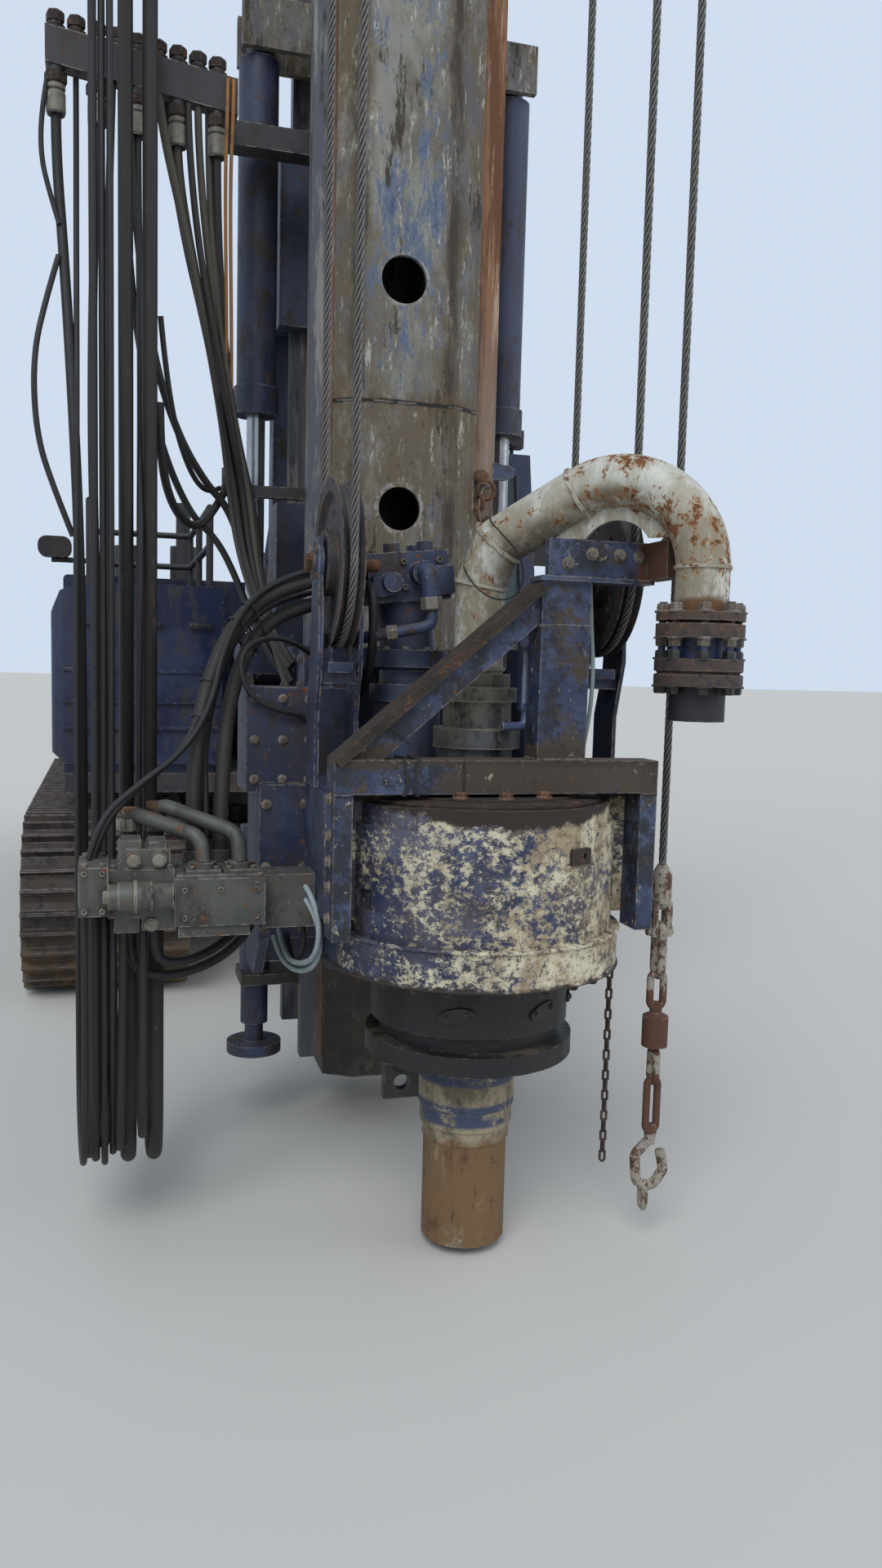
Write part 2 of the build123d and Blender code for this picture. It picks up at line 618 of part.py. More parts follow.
def cab_glass():
    """Panes set inside the window openings."""
    t = 8.0
    x0, x1 = CAB_INNER + 90 + SEAT, CAB_OUTER - 90 - SEAT
    (a0, a1), (b0, b1) = FRONT_WINDOWS
    panes = pbox(x0, x1, CAB_FRONT + 20, CAB_FRONT + 20 + t, a0 + SEAT, a1 - SEAT)
    slope = RAKE / (CAB_TOP - SILL)
    low, high = b0 + 4, b1 - 4
    pane = [(CAB_FRONT + 20 + (z - SILL) * slope + d, z) for z, d in ((low, 0), (high, 0), (high, t), (low, t))]
    panes += plate_x(pane, x0, x1)
    panes += pbox(x0 + 60, x1 - 60, CAB_REAR - 30, CAB_REAR - 30 + t, SILL + SEAT, LINTEL - SEAT)
    for x, (p0, p1) in ((CAB_INNER + 20, SIDE_WINDOW), (CAB_OUTER - 20 - t, QUARTER_WINDOW)):
        panes += pbox(x, x + t, p0 + SEAT, p1 - SEAT, SILL + SEAT, LINTEL - SEAT)
    p0, p1 = ROOF_WINDOW
    panes += pbox(x0 + 80, x1 - 80, p0 + SEAT, p1 - SEAT, CAB_TOP - 30, CAB_TOP - 30 + t)
    return panes


def cab_door():
    gap = DOOR_GAP
    door = pbox(CAB_OUTER - CAB_WALL, CAB_OUTER, DOOR_FRONT + gap, DOOR_REAR - gap, DOOR_LOW + gap, LINTEL - gap)
    door -= pbox(CAB_OUTER - CAB_WALL - 1, CAB_OUTER + 1, DOOR_FRONT + 70, DOOR_REAR - 70, SILL, LINTEL - 70)
    door += pbox(CAB_OUTER, CAB_OUTER + 25, DOOR_FRONT + 60, DOOR_FRONT + 90, 1750, 1900)
    return door + cab_hinges()[1]


def cab_door_glass():
    x = CAB_OUTER - 30
    return pbox(x, x + 8, DOOR_FRONT + 70 + SEAT, DOOR_REAR - 70 - SEAT, SILL + SEAT, LINTEL - 70 - SEAT)


def cab_fittings():
    """Seat with its pedestal, side consoles with levers, and the front console."""
    floor = HOUSE_LOW + CAB_WALL
    x = (CAB_INNER + CAB_OUTER) / 2
    seat = pbox(x - 170, x + 170, 3850, 4150, floor, floor + 300)
    seat += pbox(x - 250, x + 250, 3720, 4250, floor + 300, floor + 430)
    back = [(4140, floor + 430), (4270, floor + 1080), (4370, floor + 1080), (4260, floor + 430)]
    seat += plate_x(back, x - 240, x + 240)
    for s in (-1, 1):
        x0, x1 = sorted((x + s * 262, x + s * 350))
        seat += pbox(x0, x1, 3560, 4180, floor, floor + 520)
        seat += post(x + s * 306, behind(3640), 14, floor + 520, floor + 690)
        seat += Pos(x + s * 306, behind(3640), floor + 715) * Sphere(30)
    seat += pbox(x - 200, x + 200, 3120, 3230, floor, floor + 560)
    return seat


def rails_and_mirrors():
    """Guard rails on the tank's roof and the two mirrors on bent arms."""
    tube = 19.0
    rails = Part()
    x0, x1 = -BODY_HALF + 190, -TANK_INNER - 60
    y0, y1 = behind(BODY_FRONT + 120), behind(HOUSE_FRONT - 120)
    top = TANK_TOP + 420
    for x in (x0, x1):
        for y in (y0, (y0 + y1) / 2, y1):
            rails += post(x, y, tube, TANK_TOP, top)
        rails += bar_y(x, y0, y1, top, tube) + bar_y(x, y0, y1, TANK_TOP + 220, tube)
    rails += bar_x(x0, x1, y1, top, tube) + bar_x(x0, x1, y1, TANK_TOP + 220, tube)
    arm_y = behind(BODY_FRONT + 350)
    arm = bar_x(-BODY_HALF - 5, x0, arm_y, TANK_TOP + 130, 14) + post(-BODY_HALF + 5, arm_y, 14, TANK_TOP + 116, TANK_TOP + 150)
    head = box(-BODY_HALF - 75, -BODY_HALF + 95, arm_y - 40, arm_y + 20, TANK_TOP + 140, TANK_TOP + 250)
    head = fillet(head.edges().filter_by(Axis.Y), 45)
    mirror_low = CAB_TOP - 620
    arm += post(-BODY_HALF + 190, arm_y, tube, TANK_TOP, TANK_TOP + 160)
    right = bar_x(CAB_OUTER + 0, CAB_OUTER + 40, behind(CAB_FRONT + 120), mirror_low + 120, 14)
    right += box(CAB_OUTER + 10, CAB_OUTER + 128, behind(CAB_FRONT + 100), behind(CAB_FRONT + 140),
                 mirror_low, mirror_low + 240)
    return rails + arm + head + right


def roof_fittings():
    """Exhaust stack, intake bowl and the roof grille over the radiator."""
    parts = post(-500, behind(HOUSE_FRONT + 500), 90, HOUSE_TOP, HOUSE_TOP + 260)
    parts += post(-500, behind(HOUSE_FRONT + 500), 50, HOUSE_TOP + 260, HOUSE_TOP + 560)
    parts += post(-850, behind(HOUSE_FRONT + 450), 120, HOUSE_TOP, HOUSE_TOP + 240)
    x0, x1, p0, p1 = 250.0, 1150.0, HOUSE_REAR - 1200, HOUSE_REAR - 300
    frame = pbox(x0, x1, p0, p1, HOUSE_TOP, HOUSE_TOP + 50)
    frame -= pbox(x0 + 40, x1 - 40, p0 + 40, p1 - 40, HOUSE_TOP + 15, HOUSE_TOP + 60)
    for n in range(9):
        p = p0 + 90 + n * 88
        frame += pbox(x0 + 30, x1 - 30, p, p + 22, HOUSE_TOP + 10, HOUSE_TOP + 42)
    x0, x1 = CAB_INNER + 90, CAB_OUTER - 90
    for x in (x0, x1):
        parts += pbox(x - 60, x + 60, CAB_FRONT + 220, CAB_FRONT + 290, CAB_TOP + 40, CAB_TOP + 140)
        parts += bar_y(x, behind(CAB_FRONT + 205), behind(CAB_FRONT + 225), CAB_TOP + 90, 42)
        parts += post(x, behind(CAB_FRONT + 255), 12, CAB_TOP, CAB_TOP + 45)
    return parts + frame


# Boom and cylinders
def boom():
    """A box boom with a round foot and head, its pins, and ears for both pairs of cylinders."""
    (ap, az), (bp, bz) = BOOM_FOOT, BOOM_HEAD
    outline = [
        (ap + 60, az - 165), (ap + 60, az + 165), (ap - 700, az + 310), (bp + 260, bz + 200),
        (bp, bz + 130), (bp, bz - 130), (bp + 400, bz - 240),
    ]
    body = plate_x(outline, -BOOM_HALF, BOOM_HALF)
    body += bar_x(-BOOM_HALF, BOOM_HALF, behind(ap), az, 180) + bar_x(-BOOM_HALF, BOOM_HALF, behind(bp), bz, 135)
    cheek = CHEEK_IN + CHEEK_THICK
    body += bar_x(-cheek - 20, cheek + 20, behind(ap), az, PIN_RADIUS)
    body += bar_x(-LUG_IN - LUG_THICK - 20, LUG_IN + LUG_THICK + 20, behind(bp), bz, PIN_RADIUS)
    p, z = TILT_FOOT
    for s in (-1, 1):
        for offset in (-EYE_HALF - 23, EYE_HALF + 1):
            x0 = s * TILT_X + offset
            lug = pbox(x0, x0 + 22, p - 80, p + 80, z - 260, z) + bar_x(x0, x0 + 22, behind(p), z, 80)
            body += lug - bar_x(x0 - 1, x0 + 23, behind(p), z, 35 + PIN_GAP)
    p, z = LIFT_EYE
    for s in (-1, 1):
        for offset in (-EYE_HALF - 23, EYE_HALF + 1):
            x0 = s * LIFT_X + offset
            body += pbox(x0, x0 + 22, p - 75, p + 75, z, z + 200) + bar_x(x0, x0 + 22, behind(p), z, 75)
    return body


def cylinder_barrels(x, foot, top, radius, bore, length):
    """Two barrels with foot eyes and pins; each is bored from its open end."""
    total = Part()
    for s in (-1, 1):
        barrel = rod_between(s * x, foot, top, radius, LUG_CLEAR, length)
        barrel += rod_between(s * x, foot, top, NECK_RADIUS, 0, LUG_CLEAR + 5)
        barrel += rod_between(s * x, foot, top, radius + 14, length - 90, length)
        barrel += bar_x(s * x - EYE_HALF, s * x + EYE_HALF, behind(foot[0]), foot[1], 65)
        barrel += bar_x(s * x - EYE_HALF - 30, s * x + EYE_HALF + 30, behind(foot[0]), foot[1], 35)
        barrel -= rod_between(s * x, foot, top, bore, LUG_CLEAR + 20, length + 5)
        total += barrel
    return total


def cylinder_rods(x, foot, top, radius, start):
    """Two rods with their end eyes."""
    full = math.hypot(top[0] - foot[0], top[1] - foot[1])
    total = Part()
    for s in (-1, 1):
        rod = rod_between(s * x, foot, top, radius, start, full - 30)
        rod += bar_x(s * x - EYE_HALF, s * x + EYE_HALF, behind(top[0]), top[1], 60)
        total += rod
    return total


# Mast bracket
def mast_bracket():
    """A channel that grips the mast's rear rails, with lugs for the boom head and the tilt cylinders."""
    low, high = 1650.0, 3600.0
    rear = MAST_FRONT + MAST_DEPTH
    back = pbox(-BRACKET_OUT, BRACKET_OUT, rear + RUN + 4, BRACKET_BACK, low, high)
    back -= pbox(-150, 150, rear, BRACKET_BACK + 1, 2450, 3000)
    for z0, z1 in ((low, 2300.0), (2950.0, high)):
        for s in (-1, 1):
            x0, x1 = sorted((s * (RAIL_OUT + RUN), s * BRACKET_OUT))
            back += pbox(x0, x1, REAR_RAIL - 60, rear + RUN + 5, z0, z1)
            x0, x1 = sorted((s * (MAST_HALF + RUN), s * BRACKET_OUT))
            back += pbox(x0, x1, REAR_RAIL - 60, REAR_RAIL - RUN, z0, z1)
            back += pbox(x0, x1, REAR_RAIL + RAIL_THICK + RUN, rear + RUN + 5, z0, z1)
    bp, bz = BOOM_HEAD
    for s in (-1, 1):
        x0, x1 = sorted((s * LUG_IN, s * (LUG_IN + LUG_THICK)))
        lug = plate_x([(BRACKET_BACK - 1, bz - 330), (BRACKET_BACK - 1, bz + 330), (bp + 60, bz + 120),
                       (bp + 60, bz - 120)], x0, x1)
        lug += bar_x(x0, x1, behind(bp), bz, 135)
        back += lug - bar_x(x0 - 1, x1 + 1, behind(bp), bz, PIN_RADIUS + PIN_GAP)
    p, z = TILT_EYE
    for s in (-1, 1):
        for offset in (-EYE_HALF - 23, EYE_HALF + 1):
            x0 = s * TILT_X + offset
            back += pbox(x0, x0 + 22, BRACKET_BACK - 1, p, z - 75, z + 75) + bar_x(x0, x0 + 22, behind(p), z, 75)
    for s in (-1, 1):
        x0, x1 = sorted((s * (RAIL_OUT + RUN), s * (LIFT_BAR_X + 60)))
        back += pbox(x0, x1, LIFT_BAR_P - 60, REAR_RAIL, low, low + 150)
    return back


def mast_lift_rods():
    def side(sign):
        return post(LIFT_BAR_X, behind(LIFT_BAR_P), 34, 1800, 3500)
    return both(side)


def mast_lift_barrels():
    """Barrels hung beside the mast from clevises, bored for the rods."""
    def side(sign):
        barrel = post(LIFT_BAR_X, behind(LIFT_BAR_P), 72, 2700, 3840)
        barrel += post(LIFT_BAR_X, behind(LIFT_BAR_P), 82, 2600, 2700)
        barrel += post(LIFT_BAR_X, behind(LIFT_BAR_P), 45, 3840, 3900)
        barrel -= post(LIFT_BAR_X, behind(LIFT_BAR_P), 35, 2599, 3560)
        barrel += bar_y(LIFT_BAR_X, behind(LIFT_BAR_P - 60), behind(LIFT_BAR_P + 60), 3930, 62)
        return barrel
    return both(side)


# Mast
def mast_section(z0, z1):
    """A length of the mast: a closed box with a raised, bevelled front."""
    def prism(inset, low, high):
        front, rear = MAST_FRONT + inset, MAST_FRONT + MAST_DEPTH - inset
        half, flat = MAST_HALF - inset, MAST_FLAT_HALF - 0.5 * inset
        outline = [
            (-flat, front), (flat, front), (half, front + MAST_BEVEL), (half, rear), (-half, rear),
            (-half, front + MAST_BEVEL),
        ]
        return plate_z(outline, low, high)
    return prism(0, z0, z1) - prism(MAST_WALL, z0 + 25, z1 - 25)


def mast_lower():
    body = mast_section(MAST_LOW, MAST_JOINT - SEAT)
    body -= bar_y(-30, behind(MAST_FRONT - 1), behind(MAST_FRONT + 40), MAST_HOLES[0], 75)
    for s in (-1, 1):
        x0, x1 = sorted((s * MAST_HALF, s * (JACK_X + 60)))
        body += pbox(x0, x1, JACK_P - 90, JACK_P + 90, 520, 560)
        body += pbox(x0, x1, JACK_P - 90, JACK_P + 90, 760, 800)
    return body


def mast_upper():
    body = mast_section(MAST_JOINT, MAST_TOP)
    body -= bar_y(-30, behind(MAST_FRONT - 1), behind(MAST_FRONT + 40), MAST_HOLES[1], 80)
    for s in (-1, 1):
        x0, x1 = sorted((s * MAST_HALF, s * (LIFT_BAR_X + 70)))
        body += pbox(x0, x1, LIFT_BAR_P - 95, LIFT_BAR_P - 65, 3850, 4020)
        body += pbox(x0, x1, LIFT_BAR_P + 65, LIFT_BAR_P + 95, 3850, 4020)
    return body


def mast_rails():
    """Square guide bars on both sides, front and rear, over the whole mast."""
    def side(sign):
        rails = Part()
        for p in (FRONT_RAIL, REAR_RAIL):
            low = MAST_LOW + 60
            top = MAST_TOP - 80 if p == FRONT_RAIL else 6200.0
            rails += pbox(MAST_HALF, RAIL_OUT, p, p + RAIL_THICK, low, top)
        return rails
    return both(side)


def mast_jacks():
    """Foot cylinders beside the mast's lower end, with round feet held above the ground."""
    def side(sign):
        y = behind(JACK_P)
        jack = post(JACK_X, y, 50, 360, 520 - SEAT) + post(JACK_X, y, 55, 560 + SEAT, 760 - SEAT)
        jack += post(JACK_X, y, 100, 250, 290) + post(JACK_X, y, 34, 285, 365)
        jack += post(JACK_X, y, 55, 800 + SEAT, 1100)
        return jack
    return both(side)


def mast_head():
    """The head frame with plates that carry the sheaves' shafts."""
    head = pbox(-MAST_HALF - 60, MAST_HALF + 60, MAST_FRONT - 20, MAST_FRONT + MAST_DEPTH + 20, MAST_TOP + SEAT, MAST_TOP + 120)
    outline = [
        (-300, HEAD_Z - 90), (-300, HEAD_Z + 90), (200, HEAD_Z + 330), (1700, HEAD_Z + 330), (1850, HEAD_Z + 200),
        (1850, HEAD_Z - 200), (MAST_FRONT + MAST_DEPTH, MAST_TOP + 115), (MAST_FRONT, MAST_TOP + 115),
    ]
    for x in (-330.0, 300.0):
        head += plate_x(outline, x, x + 30)
    for x in (-490.0, 460.0, HOOK_X + 50):
        head += plate_x(outline[:2] + [(60, HEAD_Z + 160), (500, HEAD_Z + 160), (500, HEAD_Z - 60)], x, x + 30)
    head += bar_x(-490, HOOK_X + 80, behind(420), HEAD_Z + 60, 30)
    for p in (900.0, 1600.0):
        head += bar_x(-300, 300, behind(p), HEAD_Z + 240, 40)
    for p in (HEAD_SHEAVE_P, REAR_SHEAVE_P):
        head -= bar_x(-700, 700, behind(p), HEAD_Z, HEAD_SHAFT + PIN_GAP)
    return head


def head_sheaves():
    """The sheaves on the head's front shaft: one over each carriage sheave and one for the hook."""
    y = behind(HEAD_SHEAVE_P)
    sheaves = bar_x(-505, HOOK_X + 95, y, HEAD_Z, HEAD_SHAFT)
    for x in (-SHEAVE_X, SHEAVE_X, HOOK_X):
        sheaves += sheave(x, y, HEAD_Z, HEAD_SHEAVE_RADIUS, HEAD_SHAFT - 2)
    return sheaves


def rear_sheaves():
    """The sheaves on the head's rear shaft, over the winches."""
    y = behind(REAR_SHEAVE_P)
    sheaves = bar_x(-345, 345, y, HEAD_Z, HEAD_SHAFT)
    for x in (-WINCH_ROPE_X, WINCH_ROPE_X):
        sheaves += sheave(x, y, HEAD_Z, HEAD_SHEAVE_RADIUS, HEAD_SHAFT - 2)
    return sheaves


def sheave(x, y, z, radius, bore):
    """A grooved rope wheel about a shaft across the machine."""
    half = 30.0
    profile = [
        (bore, -half - 12), (90, -half - 12), (90, -14), (radius - 55, -14), (radius - 40, -half), (radius, -half),
        (radius - GROOVE, -9), (radius - GROOVE, 9), (radius, half), (radius - 40, half), (radius - 55, 14),
        (90, 14), (90, half + 12), (bore, half + 12),
    ]
    face = Plane.XZ * make_face(Polyline(*profile, close=True))
    wheel = revolve(face, Axis.Z, 360)
    for n in range(8):
        turn = 2 * math.pi * n / 8
        wheel -= Pos(135 * math.cos(turn), 135 * math.sin(turn), 0) * Cylinder(13, 60)
    return Pos(x, y, z) * Rot(0, 90, 0) * wheel


def carriage_sheave(sign):
    y = behind(SHEAVE_BEHIND)
    return sheave(sign * SHEAVE_X, y, SHEAVE_Z, SHEAVE_RADIUS, SHEAVE_PIN + PIN_GAP)


def sheave_brackets():
    """Two bent cheek plates each side that carry a sheave's shaft above the drum's ears."""
    y = behind(SHEAVE_BEHIND)

    def side(sign):
        total = Part()
        cheek = [
            (SHEAVE_BEHIND - 48, SHEAVE_Z + 70), (SHEAVE_BEHIND + 48, SHEAVE_Z + 70), (SHEAVE_BEHIND + 70, 1700),
            (SHEAVE_BEHIND + 120, 1560), (SHEAVE_BEHIND + 120, EAR_TOP), (SHEAVE_BEHIND - 20, EAR_TOP),
            (SHEAVE_BEHIND - 20, 1560), (SHEAVE_BEHIND - 70, 1720),
        ]
        for x in (SHEAVE_X - 62, SHEAVE_X + 50):
            total += plate_x(cheek, x, x + 12)
        total += bar_x(SHEAVE_X - 72, SHEAVE_X + 72, y, SHEAVE_Z, SHEAVE_PIN)
        total += pbox(SHEAVE_X - 50, SHEAVE_X + 50, SHEAVE_BEHIND - 16, SHEAVE_BEHIND + 100, EAR_TOP, EAR_TOP + 30)
        total += pbox(SHEAVE_X - 50, SHEAVE_X + 50, SHEAVE_BEHIND - 30, SHEAVE_BEHIND + 50, 1640, 1700)
        return total
    return both(side)


# Carriage
def carriage_frame():
    """The slide that runs on the mast's front rails and carries the drive."""
    frame = pbox(-330, 330, 480, CARRIAGE_BACK, 900, 1750)
    frame -= pbox(-270, 270, 479, 640, 1350, 1690)
    frame += pbox(*HOSE_TOWER, 1749, HOSE_TOWER_TOP)
    for name in ARC_HOSES:
        frame += hose_fitting(name, 0)
    for z0, z1 in ((900.0, 1200.0), (1480.0, 1750.0)):
        for s in (-1, 1):
            x0, x1 = sorted((s * (MAST_HALF + RUN), s * 392))
            frame += pbox(x0, x1, CARRIAGE_BACK - 60, FRONT_RAIL - RUN, z0, z1)
            frame += pbox(x0, x1, FRONT_RAIL + RAIL_THICK + RUN, FRONT_RAIL + RAIL_THICK + RUN + 45, z0, z1)
            x0, x1 = sorted((s * (RAIL_OUT + RUN), s * 392))
            frame += pbox(x0, x1, CARRIAGE_BACK - 60, FRONT_RAIL + RAIL_THICK + RUN + 45, z0, z1)
    frame += pbox(-610, -300, 360, 600, 1300, 1620)
    arm = [(300, 860), (300, 1330), (600, 1330), (600, 720), (430, 720)]
    frame += plate_x(arm, -575, -545) + plate_x(arm, -335, -305)
    frame += pbox(-575, -305, 300, 330, 860, 1330) + pbox(-575, -305, 300, 600, 1290, 1330)
    frame += pbox(-575, -305, 570, 600, 720, 1330)
    return frame + pbox(-345, -300, 560, 640, 900, 1620)


def drive_housing():
    """The drum about the pile axis, its lower ring, its ears and its rear mounting block."""
    y = PILE_Y
    body = post(0, y, DRUM_RADIUS, DRUM_LOW - 2, DRUM_TOP) + post(0, y, RING_RADIUS, RING_LOW, DRUM_LOW)
    body += post(0, y, 300, DRUM_TOP - 2, DRUM_TOP + 20)
    body += pbox(-300, 300, 200, 480 - SEAT, RING_LOW, DRUM_TOP)
    for s in (-1, 1):
        x0, x1 = sorted((s * 330, s * EAR_OUT))
        body += pbox(x0, x1, -140, 200, 1010, EAR_TOP)
    body -= post(0, y, BORE_RADIUS, RING_LOW - 1, DRUM_TOP - 5)
    body += post(CHAIN_X, behind(CHAIN_P), 5, CHAIN_TOP - 8, RING_LOW + 1)
    return body + hung_chain()


def drive_cover():
    """The curved cover plate over the front of the drum, with two slots and notched upper corners."""
    y = PILE_Y
    shell = post(0, y, COVER_RADIUS, DRUM_LOW + SEAT, DRUM_TOP + 5) - post(0, y, DRUM_RADIUS + SEAT, DRUM_LOW, DRUM_TOP + 6)
    shell -= pbox(-500, 500, -140 - SEAT, 500, DRUM_LOW - 5, DRUM_TOP + 10)
    for x, z in ((-357.0, 1075.0), (357.0, 1085.0)):
        slot = pbox(x - 14, x + 14, -400, -100, z - 28, z + 28)
        shell -= slot
    for s in (-1, 1):
        x0, x1 = sorted((s * 250, s * 420))
        shell -= pbox(x0, x1, -420, -130, DRUM_TOP - 55, DRUM_TOP + 10)
    return shell


def support_frame():
    """Beam over the drum with its end posts, the column, the diagonal brace and the pipe clamp."""
    p0, p1 = BEAM_FRONT, BEAM_FRONT + 100
    top = BEAM_LOW + BEAM_SIZE
    frame = pbox(-EAR_OUT, EAR_OUT, p0, p1, BEAM_LOW, top)
    for s in (-1, 1):
        x0, x1 = sorted((s * (COVER_RADIUS + 5), s * EAR_OUT))
        frame += pbox(x0, x1, p0, p1 - SEAT, DRUM_LOW, BEAM_LOW)
    column_in, column_out = 95.0, 235.0
    frame += pbox(column_in, column_out, p0, p1 - 5, top, CLAMP_LOW)
    brace = [(-EAR_OUT + 10, top - 1), (-EAR_OUT + 130, top - 1), (column_in + 1, 1815), (column_in + 1, 1915)]
    frame += plate_y(brace, p0 + 15, p1 - 20)
    ox, op = OUTLET
    frame += pbox(column_in + 15, 400, p0, p0 + 25, CLAMP_LOW - 1, CLAMP_TOP)
    frame += pbox(column_in - 10, 410, p0 - 18, p1 - 35, CLAMP_LOW - 12, CLAMP_LOW)
    frame += pbox(395, 440, -390, p0 + 25, CLAMP_LOW, CLAMP_TOP)
    for lean in (0.0, CLAMP_LEAN / OUTLET_REACH):
        frame -= post(ox * (1 - lean), behind(op * (1 - lean)), PIPE_RADIUS + SEAT, CLAMP_LOW - 20, CLAMP_TOP + 20)
    return frame


def drive_motors():
    """Upright gearboxes with hydraulic motors on the drum's top; the left motor leans a little."""
    low = DRUM_TOP + 20
    x, y = MOTOR_X, behind(200)
    left = turned([(0, low), (114, low), (114, low + 40), (100, low + 40), (100, low + 240), (112, low + 240),
                   (112, low + 290), (84, low + 290), (84, low + 330), (118, low + 340), (118, low + 390),
                   (0, low + 390)], x, y)
    motor = post(0, 0, 82, -20, 230) + box(-122, 118, -95, 95, 150, 290) + box(-150, -100, -60, 60, 180, 260)
    for px, py in ((60, -60), (60, 60), (-40, -60)):
        motor += post(px, py, 24, 280, 318)
    motor += bar_y(30, -150, -90, 225, 34) + bar_y(-60, -135, -90, 205, 28)
    left += Pos(x, y, low + 380) * Rot(0, -6, 0) * motor
    right = turned([(0, low), (105, low), (105, low + 40), (85, low + 40), (85, low + 260), (60, low + 260),
                    (60, low + 400), (0, low + 400)], 215, behind(190))
    return left + right


def swivel():
    """The stacked rotary joint on the pile axis."""
    low = DRUM_TOP + 20
    return turned([(0, low), (128, low), (128, low + 45), (104, low + 45), (104, low + 120), (124, low + 120),
                   (124, low + 175), (98, low + 175), (98, low + 250), (112, low + 250), (112, low + 290),
                   (92, low + 290), (92, SWIVEL_TOP), (0, SWIVEL_TOP)], 0, PILE_Y)


def goose_plane():
    """The upright plane through the pile axis and the outlet; its x is the reach, its y the height."""
    ox, op = OUTLET
    return Plane(origin=(0, PILE_Y, 0), x_dir=(ox, op, 0), z_dir=(op, -ox, 0))


def goose_centre():
    """Centre of the big bend, as reach and height."""
    (s1, z1), (s2, z2) = GOOSE_MITRES[-1], (OUTLET_REACH, GOOSE_PEAK)
    turn = math.pi / 2 + math.atan2(z2 - z1, s2 - s1)
    return OUTLET_REACH - GOOSE_BEND, GOOSE_PEAK - GOOSE_BEND * math.tan(turn / 2)


def gooseneck():
    """The delivery pipe: up from the swivel, two mitred turns, a straight rise and a big bend down.

    A crescent gusset fills the inside of the bend.
    """
    plane = goose_plane()

    def place(reach, height):
        return plane.from_local_coords(Vector(reach, height, 0))
    start = place(0, SWIVEL_TOP)
    mitres = [place(*point) for point in GOOSE_MITRES]
    lower = Polyline(start, *mitres)
    pipe = sweep(Plane(origin=start, z_dir=(0, 0, 1)) * Circle(PIPE_RADIUS), path=lower, transition=Transition.RIGHT)
    peak, end = place(OUTLET_REACH, GOOSE_PEAK), place(OUTLET_REACH, OUTLET_Z)
    upper = FilletPolyline(mitres[-1], peak, end, radius=GOOSE_BEND)
    pipe += sweep(Plane(origin=mitres[-1], z_dir=peak - mitres[-1]) * Circle(PIPE_RADIUS), path=upper)
    pipe += Pos(*mitres[-1]) * Sphere(PIPE_RADIUS)
    reach, height = goose_centre()
    rim = GOOSE_BEND - PIPE_RADIUS + 12
    crescent = Pos(0, 30) * (Circle(rim) - Circle(rim - GUSSET_WIDE))
    crescent -= Pos(0, CLAMP_TOP + 5 - height - rim) * Rectangle(3 * rim, 2 * rim)
    gusset = extrude(plane * Pos(reach, height) * crescent, amount=GUSSET_THICK / 2, both=True)
    return pipe + gusset


def flange_stack():
    """Flanges, spool and stub under the gooseneck's outlet."""
    x, y = OUTLET[0], behind(OUTLET[1])
    z = OUTLET_Z
    stack = turned([(0, z), (114, z), (114, z - 22), (78, z - 22), (78, z - 30), (114, z - 30), (114, z - 66),
                   (70, z - 66), (70, z - 120), (114, z - 120), (114, z - 150), (104, z - 156), (114, z - 160),
                   (114, z - 190), (72, z - 190), (72, z - 280), (58, z - 280), (58, z - 200), (0, z - 200)], x, y)
    for n in range(STUDS):
        turn = 2 * math.pi * (n + 0.5) / STUDS
        sx, sy = x + STUD_CIRCLE * math.cos(turn), y + STUD_CIRCLE * math.sin(turn)
        stack += post(sx, sy, 10, z - 208, z + 26)
    return stack


def valve_block():
    """The manifold blocks at the carriage's side, with their caps, plugs and bent steel pipes."""
    block = pbox(-1085, -1010, -40, 160, 1020, 1150)
    block += pbox(-1010, -840, -20, 150, 1010, 1140)
    block += pbox(-980, -850, 0, 130, 1140, 1190) + pbox(-975, -925, 10, 120, 1190, 1212)
    block += pbox(-905, -860, 10, 120, 1190, 1208)
    block += pbox(-840, -600, -40, 170, 985, BLOCK_TOP) + pbox(-830, -640, -30, 160, 955, 986)
    block += pbox(-600, -EAR_OUT - SEAT, 20, 140, 960, 1110)
    block += pbox(-995, -930, 0, 120, 965, 1011)
    block += bar_x(-1010, -845, behind(-60), 1075, 34) + bar_x(-985, -900, behind(-60), 1075, 40)
    block += pbox(-925, -838, -20, 100, 975, 1011)
    for x, z in ((-945, 1165), (-880, 1165), (-900, 993)):
        block += bar_y(x, behind(-34), behind(10), z, 18)
    for path in VALVE_PIPES:
        points = [(x, behind(p), z) for x, p, z in path]
        line = FilletPolyline(*points, radius=[32, 50])
        block += sweep(Plane(origin=points[0], z_dir=(0, 0, 1)) * Circle(VALVE_PIPE_RADIUS), path=line)
        x, y, z = points[0]
        block += post(x, y, VALVE_PIPE_RADIUS + 9, z, z + 45)
        x, y, z = points[-1]
        block += post(x, y, 34, BLOCK_TOP - 1, z + 1)
    block += pbox(-840, -600, 169, 250, 1000, BLOCK_TOP)
    for name in ARC_HOSES:
        block += hose_fitting(name, -1)
    return block


# Spindle
def chuck():
    y = PILE_Y
    body = turned([(SPINDLE_BORE, 600), (300, 600), (300, 655), (CHUCK_RADIUS - 25, 655), (CHUCK_RADIUS - 25, 690),
                   (CHUCK_RADIUS, 700), (CHUCK_RADIUS, 830), (CHUCK_RADIUS - 40, 855), (SPINDLE_RADIUS, 855),
                   (SPINDLE_RADIUS, 1180), (BORE_RADIUS - SEAT, 1185), (BORE_RADIUS - SEAT, 1240), (SPINDLE_RADIUS, 1245),
                   (SPINDLE_RADIUS, 1300), (SPINDLE_BORE, 1300)], 0, y)
    body += box(-280, -180, y - 130, y - 100, 500, 600.5)
    return body - bar_y(-230, y - 140, y - 90, 545, 22)


